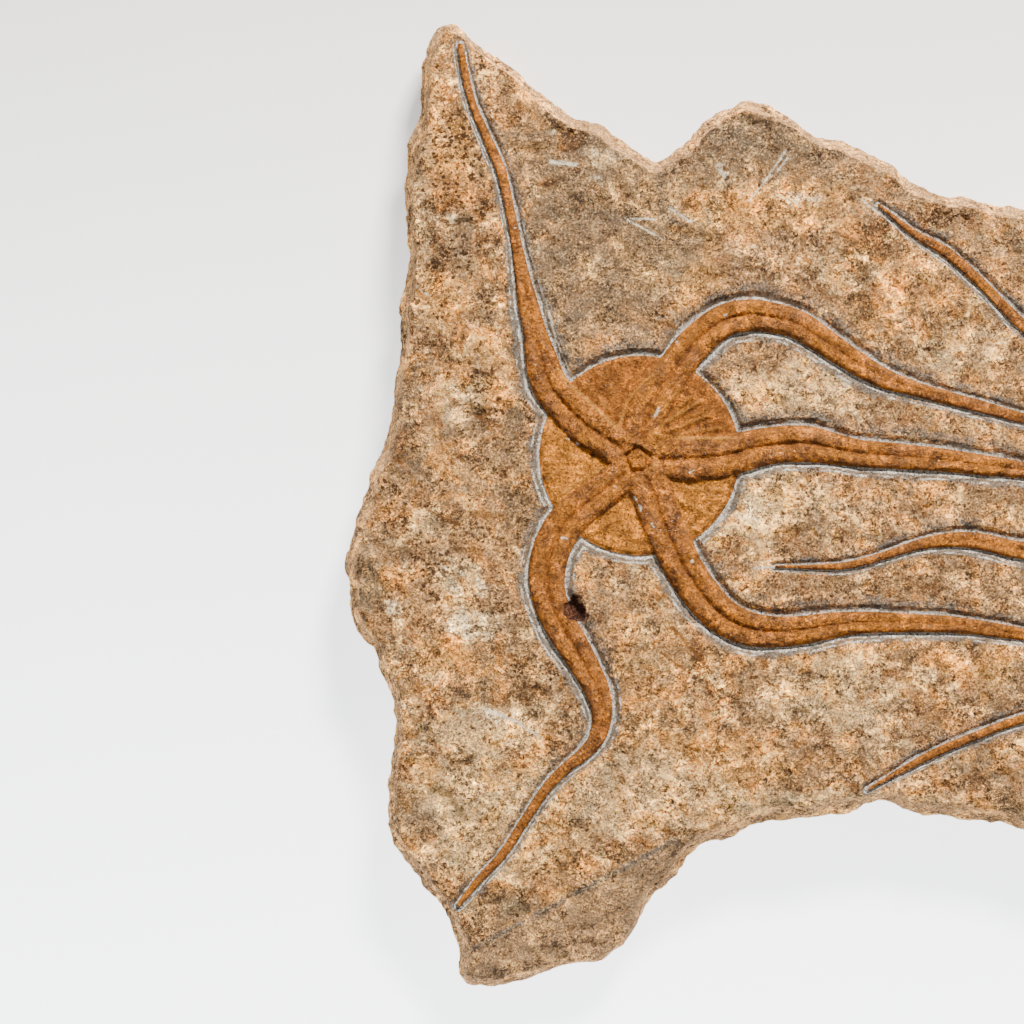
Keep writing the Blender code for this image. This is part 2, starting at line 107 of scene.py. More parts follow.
# An arm is its smooth middle line from the mouth to the tip: x, y, width.
MAIN_ARMS = [
    [
        (-123, 13, 11.5), (-131, 18.5, 11.5), (-138, 23, 11.5), (-144.5, 29, 11.3), (-149.5, 35.5, 11),
        (-152.2, 44, 9.7), (-154, 52, 7), (-156, 60, 6.3), (-158, 70, 4.4), (-159.8, 80, 3.2),
        (-161.8, 90, 2.9), (-164.1, 100, 3.1), (-168.3, 110, 2.9), (-172.6, 120, 2.4),
        (-175, 130, 2.4), (-176.4, 138.3, 1.8),
    ],
    [
        (-123, 13, 10), (-130.5, 6, 10), (-137.5, 0.5, 10.5), (-144, -5, 11.3), (-148.3, -12, 11.5),
        (-150.3, -20, 11.2), (-149.8, -28, 10.5), (-146.5, -36, 10), (-142.3, -43, 9.5),
        (-138.3, -50, 8.5), (-135.3, -56, 7.6), (-133.8, -63, 6.3), (-135.2, -70, 5), (-139.3, -75, 4),
        (-145.5, -80, 3.4), (-151, -86, 3.1), (-157, -95, 2.9), (-163.5, -105, 2.7),
        (-170.5, -112.5, 2.4), (-177, -120.4, 1.4),
    ],
    [
        (-123, 13, 11.5), (-121.5, 22, 11.5), (-118.5, 31, 11.5), (-112.5, 39.5, 11),
        (-106.5, 47.5, 10.5), (-98, 54.5, 10), (-90, 56.6, 9.7), (-82, 55.8, 9.2), (-75, 53.8, 8.7),
        (-68, 49.3, 8.2), (-60, 43.9, 7.3), (-50, 38, 6.3), (-40, 34.5, 4.6), (-30, 31.7, 4.2),
        (-20, 29.1, 3.8), (-10, 26.3, 3.4), (2, 23.5, 2.9), (18, 20.5, 2.2), (33, 19, 1.2),
    ],
    [
        (-123, 13, 10), (-113, 13.2, 12), (-104, 13.5, 13.5), (-96, 14.5, 12.7), (-88, 16.5, 11.6),
        (-80, 17.8, 11.2), (-72, 17.9, 11), (-64, 16.4, 9.5), (-56, 15, 8.3), (-48, 14.5, 8),
        (-40, 13.8, 7.6), (-30, 12.9, 6.9), (-20, 11.6, 6.4), (-10, 10.4, 5.4), (4, 8, 4),
        (20, 5.5, 2.6), (38, 5, 1.2),
    ],
    [
        (-123, 13, 12.5), (-119.3, 5, 12.5), (-116.5, -3, 12.3), (-113.3, -11, 12), (-109.5, -19, 11.8),
        (-104.5, -26.5, 11.5), (-98, -33.5, 11), (-90, -37.5, 10.2), (-82, -38.5, 9.5),
        (-74, -38, 8.7), (-66, -36.7, 8), (-58, -35.8, 6.9), (-50, -35.6, 6.3), (-40, -35.9, 5.6),
        (-30, -36.2, 5.2), (-20, -37.3, 4.6), (-10, -38.8, 4), (2, -40.5, 3.2), (14, -41.5, 2.2),
        (24, -41.5, 1.2),
    ],
]
SECOND_ARMS = [
    [
        (105.6, 22, 11.5), (97, 33, 11.5), (86, 40, 11.3), (72, 43, 10.2), (56, 41.5, 8.6),
        (40, 38, 7.2), (24, 38, 6), (10, 42, 5), (0, 48, 4.2), (-10, 56, 3.5), (-20, 66.3, 3.2),
        (-30, 75.3, 3.4), (-40, 81.2, 2.4), (-51, 90, 1.0),
    ],
    [
        (105.6, 22, 11.5), (92, 15, 11.5), (79, 8, 11.5), (64, 1, 10.8), (46, -6.5, 9.6), (30, -11, 8.6),
        (15.6, -13.4, 7.4), (2, -14.5, 6.3), (-10, -13.7, 5.4), (-18, -11.8, 5.3), (-25, -10.8, 4.9),
        (-32, -11.1, 4.2), (-40, -12.7, 3.2), (-50, -15.9, 2.6), (-60, -18.5, 2.4), (-70, -19, 1.8),
        (-82, -18.9, 0.9),
    ],
    [
        (105.6, 22, 11.5), (108, 7, 11.5), (108.5, -8, 11.4), (104, -22, 10.6), (94, -35, 9.6),
        (80, -45, 8.2), (62, -51, 6.6), (42, -54, 5), (21.6, -57.2, 4), (4, -61.5, 3.2),
        (-10, -65.3, 2.8), (-20, -69, 2.8), (-30, -73, 2.8), (-40, -77.8, 2.4), (-54.4, -85.8, 1.0),
    ],
    [
        (105.6, 22, 11.5), (121, 19.5, 11.5), (136, 16, 11.3), (150, 8, 10.4), (160, -6, 9.4),
        (165, -22, 8), (166, -40, 6.4), (162, -58, 4.8), (154, -74, 3.6), (146, -88, 2.6),
        (142, -100, 1.2),
    ],
    [
        (105.6, 22, 11.5), (112.5, 35.5, 11.5), (120, 48, 11.2), (130, 59, 9.6), (143, 67, 7.2),
        (157, 71, 4.8), (170, 70, 2.8), (180, 64, 1.2),
    ],
]
# The broken pit at the edge of the main star's lower left arm: x, y, radius.
PIT = (-141.9, -32.0, 3.2)
# Folds of the main star's skin: start x, y, end x, y, half width, height.
FOLDS = [
    (-116.5, 23.4, -103.5, 31.2, 0.7, 0.9), (-115.0, 21.2, -100.5, 27.0, 0.6, 0.7),
    (-118.6, 25.6, -110.0, 35.0, 0.7, 0.6), (-112.0, 20.6, -97.0, 22.8, 0.7, 0.5),
    (-113.0, 26.6, -106.0, 32.8, 0.5, 0.6), (-108.0, 25.2, -101.5, 28.8, 0.5, 0.5),
    (-131.0, 27.5, -140.0, 36.5, 0.9, 0.4), (-129.3, 28.5, -133.0, 40.0, 0.9, 0.3),
    (-138.5, 10.5, -150.5, 9.0, 0.9, 0.3), (-138.0, 13.0, -150.0, 16.5, 0.9, 0.3),
    (-137.5, 8.0, -147.5, 3.5, 0.8, 0.3), (-128.0, -4.0, -138.5, -9.5, 0.8, 0.4),
    (-126.5, -6.0, -133.0, -14.0, 0.9, 0.35), (-124.8, -7.5, -124.5, -14.5, 0.8, 0.3),
    (-110.5, 4.5, -97.5, 4.0, 0.9, 0.4), (-111.5, 1.0, -101.0, -3.5, 0.9, 0.45),
    (-112.5, -2.5, -107.0, -9.5, 0.8, 0.35),
]
# Thin raised crests along the main star's ridges, painted pale as highlights: x, y of each end and half the
# width.
CRESTS = [
    (-147.5, 40.5, -143.1, 35.6, 0.5), (-143.1, 35.6, -137.0, 30.0, 0.55), (-137.0, 30.0, -133.0, 26.4, 0.55),
    (-133.0, 26.4, -129.6, 22.3, 0.55), (-129.0, 22.6, -128.2, 24.8, 0.4), (-128.2, 24.8, -126.2, 30.8, 0.38),
    (-126.2, 30.8, -122.6, 35.2, 0.35), (-122.6, 35.2, -118.5, 38.8, 0.35),
    (-145.9, 2.7, -141.4, 5.9, 0.38), (-141.4, 5.9, -137.0, 8.7, 0.38), (-137.0, 8.7, -133.4, 11.1, 0.42),
    (-118.5, 21.1, -115.3, 20.1, 0.5), (-115.3, 20.1, -105.7, 19.5, 0.5), (-105.7, 19.5, -94.4, 19.5, 0.45),
    (-120.2, 9.4, -117.2, 12.2, 0.5),
]
# White grains on the stars: start x, y, end x, y, half the width.
FLECKS = [
    (-118.0, 26.1, -116.8, 28.3, 0.42), (-117.2, 27.9, -116.6, 28.7, 0.30),
    (-122.6, -0.6, -122.2, -1.9, 0.36), (-124.3, 2.1, -123.6, 1.2, 0.22), (-107.4, 9.5, -106.5, 9.9, 0.32),
    (-145.7, -10.3, -144.4, -10.6, 0.34), (-118.8, -6.2, -118.4, -7.0, 0.26),
    (-141.3, 18.2, -141.1, 17.9, 0.22), (-143.9, 19.4, -143.6, 19.2, 0.20),
    (-129.9, 5.1, -129.6, 4.8, 0.20), (-111.4, 48.5, -111.1, 48.8, 0.28),
    (-96.8, 56.4, -96.2, 56.6, 0.28), (-106.9, -17.4, -106.7, -17.1, 0.24),
]
# Straight marks on the rock: start x, y, end x, y, half the width.
WHITE_SCRATCHES = [
    (-149.3, 102.9, -141.8, 102.0, 0.61), (-126.8, 85.9, -117.7, 85.6, 0.32),
    (-126.8, 85.9, -115.5, 79.5, 0.29), (-113.4, 89.1, -107.0, 84.8, 0.43),
    (-78.6, 106.2, -84.6, 97.2, 0.32), (-84.6, 97.2, -89.4, 91.0, 0.26), (-77.9, 104.0, -81.0, 100.0, 0.26),
    (-169.0, -61.5, -158.5, -65.8, 0.46), (-158.5, -65.8, -152.0, -70.5, 0.35),
    (-149.9, 58.0, -147.5, 49.0, 0.29), (-147.5, 49.0, -143.0, 38.4, 0.29),
    (-82.2, -18.9, -88.0, -19.5, 0.35),
    (-98.6, 102.0, -96.9, 98.4, 0.43),
    (-190.5, 66.0, -186.0, 62.5, 0.29), (-56.0, 91.5, -50.5, 87.0, 0.29),
    (-121.9, 105.2, -121.0, 101.6, 0.38),
]
BROWN_CRACKS = [
    (-96.3, 102.2, -98.1, 97.7, 0.35), (-115.5, 54.4, -112.3, 53.2, 0.6),
    (-112.5, -37.5, -106.5, -44.0, 0.6), (-106.5, -44.0, -101.0, -50.5, 0.5),
    (-172.0, 26.5, -158.5, 20.5, 0.35), (-193.5, -41.0, -186.5, -47.5, 0.4),
    (-116.5, -44.5, -109.0, -50.0, 0.35), (-196.0, 14.0, -190.0, 7.0, 0.4),
    (-186.0, -2.0, -176.5, -6.5, 0.3), (-148.0, -96.0, -133.0, -101.5, 0.3),
]

# Soft patches of the rock's colour: x, y, reach along x, reach along y, strength.
GREY_PATCHES = [
    (-192, -15.5, 2.6, 3.4, 1.4), (-204, -27, 4, 4, 1.4), (-176, 25, 4, 4, 1.2), (-160, 24, 3, 5, 0.8),
    (40, 92, 30, 12, 0.8), (120, 60, 18, 14, 0.8), (170, -50, 20, 16, 0.9), (60, -75, 26, 10, 0.7),
    (-131, 76, 22, 23, 1.2), (-140, 63, 10, 9, 0.8), (-176, 72, 6, 7, 0.6), (-112, 78, 9, 4, 0.6),
    (-139, 104, 22, 12, 0.9), (-99, 105, 20, 10, 1.2), (-74, 108, 22, 8, 1.1),
    (-180, 139, 6, 7, 0.5), (-175, 82, 4, 6, 0.9), (-174, 25, 9, 10, 0.6), (-184, -93, 9, 10, 0.9),
    (-40, 94, 16, 4, 0.6), (-193, 10, 7, 12, 0.6), (-205, -22, 5, 10, 0.6), (-160, -3, 5, 14, 0.7),
    (-152, 50, 10, 10, 0.2), (-20, -80, 18, 5, 0.5), (-92, -92, 10, 4, 0.4), (-160, -120, 14, 8, 0.5),
    (-133, -25, 6, 6, 0.3), (-12, 80, 12, 8, 0.5),
]
PALE_PATCHES = [
    (90, -10, 22, 12, 0.8), (30, 60, 20, 10, 0.7), (180, 20, 14, 16, 0.7), (110, -70, 18, 10, 0.8),
    (-118, -90, 17, 12, 0.9), (-168, -106, 20, 8, 1.0), (-60, -89, 34, 5, 0.9), (-188, 88, 5, 22, 0.7),
    (-155, -87, 32, 13, 0.8), (-176, -84, 13, 12, 0.6), (-120, -80, 16, 8, 0.6), (-57, -51, 14, 8, 0.7),
    (-68, 43, 9, 6, 0.8), (-176, 31, 7, 7, 1.2), (-116, 67, 7, 6, 0.7), (-189, -6, 9, 7, 0.7),
    (-176, -65, 9, 8, 0.7), (-80, 7, 8, 6, 0.7), (-32, 45, 9, 8, 0.6), (-93, -92, 14, 5, 0.7),
    (-82, 35, 22, 7, 0.9), (-60, 28, 18, 6, 0.6), (-92, -4, 14, 12, 1.1), (-72, 0, 18, 6, 0.6),
    (-176, -23, 7, 9, 1.1), (-170, -36, 8, 5, 0.9), (-60, 70, 16, 10, 0.8), (-20, 48, 14, 10, 0.8),
    (-172, 75, 12, 9, 0.5), (-180, 30, 8, 8, 0.4), (-70, -60, 20, 8, 0.9), (-50, -70, 14, 8, 0.6),
    (-107, -91, 7, 4, 1.1), (-150, -62, 14, 8, 0.6), (-168, -68, 14, 7, 0.6), (-120, -35, 12, 9, 0.5),
    (-30, -52, 14, 6, 0.6), (-135, 104, 6, 4, 1.0), (-97, 96, 8, 4, 0.6), (-190, -60, 5, 16, 0.5),
]
PEACH_PATCHES = [
    (70, 75, 26, 12, 0.8), (150, -85, 22, 12, 0.9), (20, -20, 22, 8, 0.7), (195, 60, 12, 16, 0.8),
    (-84, 90, 26, 8, 1.2), (-105, 66, 9, 14, 1.0), (-180, 105, 8, 16, 1.0), (-183, 60, 8, 12, 1.0),
    (-148, 125, 12, 8, 0.5), (-165, 45, 8, 16, 0.7), (-125, -50, 14, 16, 0.6), (-100, -78, 30, 10, 1.0),
    (-155, -100, 16, 14, 1.0), (-140, -122, 12, 6, 0.9), (-45, 62, 26, 14, 0.6), (-182, -45, 9, 6, 1.0),
    (-60, -48, 30, 6, 0.6), (-175, 5, 8, 12, 0.5), (-20, -50, 14, 8, 0.6), (-25, 40, 16, 5, 0.6),
]
RUST_PATCHES = [
    (130, 85, 14, 8, 0.9), (50, -50, 14, 8, 0.7), (160, -10, 10, 8, 0.7),
    (-54, 78, 11, 8, 1.2), (-55, 60, 7, 9, 0.8), (-128, -42, 7, 4, 0.5), (-92, -53, 14, 4, 0.4),
    (-18, 56, 9, 6, 0.7), (-8, 68, 7, 6, 0.7), (-32, 83, 8, 5, 0.7), (-176, 88, 6, 5, 0.4),
    (-160, -59, 14, 3, 0.8), (-103, 62, 7, 4, 0.6),
    (-141.0, 111.5, 3, 4, 2.2), (-145.0, 107.5, 2.5, 2, 1.8), (-150, 96.5, 4, 1.8, 1.1),
    (-105, -44, 3, 8, 0.9), (-113, -30, 3, 6, 0.5),
    (-98, 60, 5, 3, 0.6), (-35, 88, 10, 5, 0.6), (-92, 92, 9, 4, 0.4),
    (-63, 2, 10, 6, 0.5), (-100, -58, 4, 8, 0.6), (-30, -60, 8, 4, 0.4), (-165, 10, 7, 8, 0.4),
]
CREAM_PATCHES = [
    (-175, -24, 5, 5, 1.1), (-172, -37, 8, 5, 1.3), (-182, -18, 2.6, 3.4, 1.1), (-198, -43, 1.6, 3.4, 1.2),
    (-197, -31, 4, 3, 1.0), (-187, 29, 1.6, 1.6, 1.2), (-193, -60, 3, 2, 0.9), (-166, -64, 8, 2.4, 1.0),
    (75, 50, 8, 4, 0.8), (150, 40, 6, 6, 0.8), (30, -60, 10, 4, 0.7),
    (-134.5, 104.5, 3.4, 3.6, 1.1), (-126, 104.5, 3, 2, 0.7), (-109, 86, 2.2, 2.2, 0.9),
    (-97.5, 100, 1.8, 3, 0.9), (-116, 57, 3, 3, 1.0), (-149, 112, 3, 3, 0.8), (-181, 86, 4, 2.5, 0.8),
    (-73, 92, 12, 2.6, 0.9), (-60, 88, 8, 2.0, 0.8), (-57, 37, 6, 4, 0.9), (-72, -17, 6, 4, 0.8),
    (-86, 78, 8, 2.4, 0.7), (-176, 30, 5, 4, 0.7), (-92, -2, 8, 5, 0.7), (-107, -91, 4, 2.5, 0.9),
    (-172, -26, 4, 5, 0.7), (-150, -88, 18, 4, 0.6), (-182, 54, 3, 4, 0.7), (-135, 98, 3, 1.6, 0.6),
]
PORE_PATCHES = [
    (185, -20, 8, 12, 0.9), (100, 95, 14, 6, 0.9), (140, -60, 12, 8, 0.7),
    (-176, 74, 8, 7, 0.9), (-176, 103, 8, 8, 0.9), (-172, 90, 6, 6, 0.7), (-187, -20, 6, 8, 0.6),
    (-178, 107, 7, 8, 1.0), (-184, 92, 6, 6, 0.8), (-185, 60, 5, 7, 1.0), (-167, 30, 6, 6, 0.8),
    (-171, 42, 5, 5, 0.6), (-172, -12, 8, 8, 0.4), (-154, -52, 10, 4, 0.6), (-196, 2, 5, 8, 0.6),
    (-134, -10, 4, 4, 0.3), (-75, 8, 12, 8, 0.4), (-160, 55, 4, 6, 0.5), (-50, 32, 10, 4, 0.3),
]
PATCHES = {
    "peach": PEACH_PATCHES, "pale": PALE_PATCHES, "rust": RUST_PATCHES, "pore": PORE_PATCHES,
    "cream": CREAM_PATCHES,
}


# ---- helpers for curves, fields and selections ----


class Route:
    """An arm's middle line as evenly spaced points with its width and its length up to each."""

    def __init__(self, points):
        knots = np.array(points, float)
        ends = np.vstack([2 * knots[0] - knots[1], knots, 2 * knots[-1] - knots[-2]])
        fine = []
        for a, b, c, d in zip(ends, ends[1:], ends[2:], ends[3:]):
            t = np.linspace(0, 1, 16, endpoint=False)[:, None]
            bend = (2 * a - 5 * b + 4 * c - d) * t**2 + (3 * b - a - 3 * c + d) * t**3
            fine.append(b + ((c - a) * t + bend) / 2)
        fine = np.vstack(fine + [knots[-1:]])
        run = np.concatenate([[0], np.cumsum(np.hypot(*np.diff(fine[:, :2], axis=0).T))])
        self.length = run[-1]
        self.along = np.linspace(0, self.length, round(self.length / ROUTE_STEP) + 1)
        self.points = np.column_stack([np.interp(self.along, run, fine[:, k]) for k in (0, 1)])
        self.width = np.interp(self.along, run, fine[:, 2])

    def beside(self, xy):
        """For each point: distance off the line (left is positive), place along it and width there."""
        off = np.full(len(xy), 1e3)
        along = np.zeros(len(xy))
        low, high = self.points.min(0) - ROUTE_REACH, self.points.max(0) + ROUTE_REACH
        near = np.flatnonzero(((xy > low) & (xy < high)).all(1))
        best = np.full(len(near), 1e3)
        side = np.ones(len(near))
        place = np.zeros(len(near))
        here = xy[near]
        for i in range(len(self.points) - 1):
            a = self.points[i]
            run = self.points[i + 1] - a
            gap = here - a
            t = np.clip(gap @ run / (run @ run), 0, 1)
            gap = gap - t[:, None] * run
            d = np.hypot(gap[:, 0], gap[:, 1])
            closer = d < best
            best = np.where(closer, d, best)
            side = np.where(closer, np.sign(run[0] * gap[:, 1] - run[1] * gap[:, 0]), side)
            place = np.where(closer, self.along[i] + t * (self.along[i + 1] - self.along[i]), place)
        off[near] = best * np.where(side == 0, 1, side)
        along[near] = place
        return off, along, np.interp(along, self.along, self.width)


MAIN_ROUTES = [Route(points) for points in MAIN_ARMS]
SECOND_ROUTES = [Route(points) for points in SECOND_ARMS]


def smooth_step(low, high, value):
    """0 at low, 1 at high and a smooth rise between; high may be the lower one."""
    t = np.clip((value - low) / (high - low), 0, 1)
    return t * t * (3 - 2 * t)


def wander(points, size, octaves, seed):
    """Fractal noise of about -1 to 1 at each point, flat or not, with lumps of a size in millimetres."""
    shift = Vector((seed * 17.3, seed * 9.1, seed * 5.7))
    basis = "PERLIN_ORIGINAL"
    return np.array([
        noise.fractal(Vector(p).to_3d() / size + shift, 0.9, 2.1, octaves, noise_basis=basis)
        for p in points
    ])


def half_width(route_number, along, width, side):
    """Half an arm's width, with the slight waver that each of its edges has."""
    waver = np.sin(along / 4.1 + 2.3 * route_number + side) * np.sin(along / 9.7 + 1.7 * side)
    return width / 2 + waver * 0.03 * width


def star_distance(xy, centre, routes):
    """Distance outside a star's edge at each point, negative within it, and its arm width there."""
    distance = np.hypot(xy[:, 0] - centre[0], xy[:, 1] - centre[1]) - DISC_RADIUS
    width_here = np.full(len(xy), FULL_WIDTH)
    for number, route in enumerate(routes):
        off, along, width = route.beside(xy)
        outside = np.abs(off) - half_width(number, along, width, np.sign(off))
        closer = outside < distance
        distance = np.where(closer, outside, distance)
        width_here = np.where(closer, width, width_here)
    return distance, width_here


def fullness(width):
    """An arm's width as a share of the full width, 0 to 1."""
    return np.clip(width / FULL_WIDTH, 0, 1)


def trench_depth(width):
    """How far a trench floor lies below the bedding surface."""
    return TIP_TRENCH_DEPTH + (TRENCH_DEPTH - TIP_TRENCH_DEPTH) * fullness(width)


def beyond_foot(xy):
    """How far each point lies beyond the foot's break line; negative on the slab's side of it."""
    (ax, ay), (bx, by) = FOOT_LINE
    beyond = ((bx - ax) * (ay - xy[:, 1]) - (by - ay) * (ax - xy[:, 0])) / math.hypot(bx - ax, by - ay)
    return np.where(xy[:, 0] < bx + 6, beyond, -9.0)


def surface_height(xy):
    """The bedding surface of the slab, nearly as in the frame; the foot falls away more steeply."""
    x, y = xy[:, 0], xy[:, 1]
    height = SLAB_THICKNESS + RIPPLE_HEIGHT * np.sin(x / 9.0 + y / 23.0) * np.cos(y / 11.0 - x / 31.0)
    for a, b, reach, rise in SWELLS:
        height = height + rise * np.exp(-((x - a) ** 2 + (y - b) ** 2) / reach**2)
    return height - np.clip(beyond_foot(xy) * FOOT_SLOPE, 0, FOOT_DROP)


def patches(xy, places):
    """The summed strength of soft oval patches at each point, at most 1.5."""
    value = np.zeros(len(xy))
    for x, y, along_x, along_y, strength in places:
        value += strength * np.exp(-((xy[:, 0] - x) / along_x) ** 2 - ((xy[:, 1] - y) / along_y) ** 2)
    return np.clip(value, 0, 1.5)


def rows(items, name):
    """A measure of every vertex or face, as rows of three numbers."""
    values = np.zeros(len(items) * 3)
    items.foreach_get(name, values)
    return values.reshape(-1, 3)


def vertex_places(mesh):
    """The mesh's vertices, in millimetres."""
    return rows(mesh.vertices, "co") / MM


def place_vertices(mesh, places):
    mesh.vertices.foreach_set("co", (places * MM).ravel())
    mesh.update()


def add_attribute(mesh, name, values):
    """Stores a value at every vertex, for a finish to read."""
    attribute = mesh.attributes.new(name, "FLOAT", "POINT")
    attribute.data.foreach_set("value", values.astype(np.float32))


def work_on(piece):
    """Makes the piece the only selected and active object, in object mode."""
    bpy.ops.object.select_all(action="DESELECT")
    piece.select_set(True)
    bpy.context.view_layer.objects.active = piece


def select_faces(piece, chosen):
    """Selects the faces numbered by a true value in chosen, and enters edit mode."""
    work_on(piece)
    bpy.ops.object.mode_set(mode="EDIT")
    bpy.ops.mesh.select_mode(type="FACE")
    bpy.ops.mesh.select_all(action="DESELECT")
    bpy.ops.object.mode_set(mode="OBJECT")
    piece.data.polygons.foreach_set("select", chosen)
    bpy.ops.object.mode_set(mode="EDIT")


def face_centres(mesh):
    """The middles of the mesh's faces, in millimetres."""
    return rows(mesh.polygons, "center") / MM


def voxel_remesh(piece, voxel):
    """Makes the piece one closed skin of square cells, each a voxel wide, in millimetres."""
    work_on(piece)
    remesh = piece.modifiers.new("remesh", "REMESH")
    remesh.mode = "VOXEL"
    remesh.voxel_size = voxel * MM
    bpy.ops.object.modifier_apply(modifier=remesh.name)


def cut_flat(piece, height):
    """Cuts away what is below a height, in millimetres, and caps the cut."""
    work_on(piece)
    bpy.ops.object.mode_set(mode="EDIT")
    bpy.ops.mesh.select_mode(type="EDGE")
    bpy.ops.mesh.select_all(action="SELECT")
    level = (0, 0, height * MM)
    bpy.ops.mesh.bisect(plane_co=level, plane_no=(0, 0, 1), clear_inner=True, threshold=1e-7)
    bpy.ops.mesh.select_all(action="DESELECT")
    bpy.ops.mesh.select_non_manifold()
    bpy.ops.mesh.fill(use_beauty=False)
    bpy.ops.mesh.select_all(action="SELECT")
    bpy.ops.mesh.normals_make_consistent(inside=False)
    bpy.ops.object.mode_set(mode="OBJECT")


# ---- materials ----


class Finish:
    """A material being made, named f below: its node tree, with short calls for the nodes that it uses.

    Noises and masks that more than one layer of it reads are kept on it by name.
    """

    def __init__(self, name, roughness):
        self.material = bpy.data.materials.new(name)
        self.material.use_nodes = True
        self.nodes = self.material.node_tree.nodes
        self.links = self.material.node_tree.links
        self.shader = self.nodes["Principled BSDF"]
        self.colour = None
        self.shader.inputs["Roughness"].default_value = roughness
        self.shader.inputs["Specular IOR Level"].default_value = SPECULAR
        coordinates = self.node("TexCoord")
        mapping = self.node("Mapping", Scale=(1 / MM,) * 3, Vector=coordinates.outputs["Object"])
        self.place = mapping.outputs["Vector"]

    def put(self, socket, value):
        if isinstance(value, bpy.types.NodeSocket):
            self.links.new(value, socket)
        elif value is not None:
            socket.default_value = value

    def node(self, kind, **inputs):
        """A new node with its named inputs set or linked; an underscore stands for a space."""
        node = self.nodes.new("ShaderNode" + kind)
        for name, value in inputs.items():
            self.put(node.inputs[name.replace("_", " ")], value)
        return node

    def turned(self, angle, stretch):
        """The place, turned about Z by an angle in degrees and stretched along the new X."""
        turn = (0, 0, math.radians(angle))
        mapping = self.node("Mapping", Rotation=turn, Scale=(stretch, 1, 1), Vector=self.place)
        mapping.vector_type = "TEXTURE"
        return mapping.outputs["Vector"]

    def shaken(self, size, reach):
        """The place, shifted at random by up to about reach, in millimetres, in lumps of the given size."""
        noisy = self.node("TexNoise", Scale=1 / size, Detail=2, Vector=self.place)
        shift = self.vector_math("SUBTRACT", noisy.outputs["Color"], (0.5,) * 3)
        shift = self.vector_math("MULTIPLY", shift, (4 * reach,) * 3)
        return self.vector_math("ADD", self.place, shift)

    def lumps(self, size, detail=3.0, roughness=0.6, place=None, distortion=0.0):
        """Noise of 0 to 1 whose lumps have the given size, in millimetres."""
        place = place or self.place
        noisy = self.node("TexNoise", Scale=1 / size, Detail=detail, Roughness=roughness, Vector=place)
        noisy.inputs["Distortion"].default_value = distortion
        return noisy.outputs["Fac"]

    def cells(self, size, place):
        """Distance to the nearest of scattered points that lie about size millimetres apart."""
        return self.node("TexVoronoi", Scale=1 / size, Vector=place).outputs["Distance"]

    def attribute(self, name):
        node = self.node("Attribute")
        node.attribute_name = name
        return node.outputs["Fac"]

    def zone(self, name, lumps, low, high):
        """A stored patch mask with its border made ragged by lumps of 0 to 1."""
        ragged = self.swing(lumps, 2.4)
        return self.between(self.plus(self.attribute(name), ragged), low, high)

    def math(self, operation, a, b=None, kind="Math", output="Value"):
        node = self.node(kind)
        node.operation = operation
        for socket, value in zip(node.inputs, (a, b)):
            self.put(socket, value)
        return node.outputs[output]

    def plus(self, a, b):
        return self.math("ADD", a, b)

    def minus(self, a, b):
        return self.math("SUBTRACT", a, b)

    def times(self, a, b):
        return self.math("MULTIPLY", a, b)

    def swing(self, lumps, reach):
        """The noise's departure from its middle value, times reach."""
        return self.times(self.minus(lumps, 0.5), reach)

    def vector_math(self, operation, a, b=None):
        output = "Value" if operation in ("DOT_PRODUCT", "LENGTH") else "Vector"
        return self.math(operation, a, b, "VectorMath", output)

    def between(self, value, low, high):
        """0 below low, 1 above high and a smooth rise between; high may be the lower one."""
        node = self.node("MapRange", Value=value, From_Min=low, From_Max=high)
        node.interpolation_type = "SMOOTHSTEP"
        return node.outputs[0]

    def ramp(self, value, low, high, at_low, at_high):
        """A straight ramp from at_low, where value is low, to at_high, where it is high."""
        ends = {"From_Min": low, "From_Max": high, "To_Min": at_low, "To_Max": at_high}
        return self.node("MapRange", Value=value, **ends).outputs[0]

    def mix(self, share, a, b, blend="MIX"):
        node = self.node("Mix")
        node.data_type = "RGBA"
        node.blend_type = blend
        self.put(node.inputs[0], share)
        self.put(node.inputs[6], a)
        self.put(node.inputs[7], b)
        return node.outputs[2]

    def lay(self, tint, *masks):
        """Lays a tint over the colour, as far as the product of the masks says."""
        share = masks[0]
        for mask in masks[1:]:
            share = self.times(share, mask)
        self.colour = self.mix(share, self.colour, tint)

    def tint(self, factor, share):
        """Multiplies the colour by a factor, as far as the share says."""
        self.lay(self.mix(1.0, self.colour, factor, "MULTIPLY"), share)

    def done(self, *bumps):
        """The material with its colour and its bumps, each a height of 0 to 1 and a depth in millimetres."""
        self.put(self.shader.inputs["Base Color"], self.colour)
        normal = None
        for height, depth in bumps:
            bump = self.node("Bump", Distance=depth * MM, Height=height, Normal=normal)
            normal = bump.outputs["Normal"]
        self.put(self.shader.inputs["Normal"], normal)
        return self.material


SPECULAR = 0.25
ROCK_ROUGHNESS = 0.92
FOSSIL_ROUGHNESS = 0.8
FLOOR_ROUGHNESS = 0.6
# Base colours, all linear.
TAN = (0.415, 0.241, 0.119, 1)
PEACH = (0.72, 0.372, 0.115, 1)
PALE = (0.79, 0.526, 0.264, 1)
GREY_BROWN = (0.235, 0.158, 0.096, 1)
RUST = (0.250, 0.100, 0.024, 1)
RUST_BROWN = (0.120, 0.055, 0.023, 1)
CREAM = (1.0, 0.72, 0.36, 1)
YELLOW = (0.70, 0.40, 0.055, 1)
CRUST = (1.0, 0.83, 0.60, 1)
RUSTY = (0.37, 0.165, 0.060, 1)
CREAMY = (0.86, 0.60, 0.33, 1)
SIDE_PEACH = (0.86, 0.50, 0.235, 1)
SEAM_GREY = (0.235, 0.205, 0.175, 1)
FOOT_PEACH = (0.53, 0.342, 0.198, 1)
DARK_GRAIN = (0.034, 0.019, 0.011, 1)
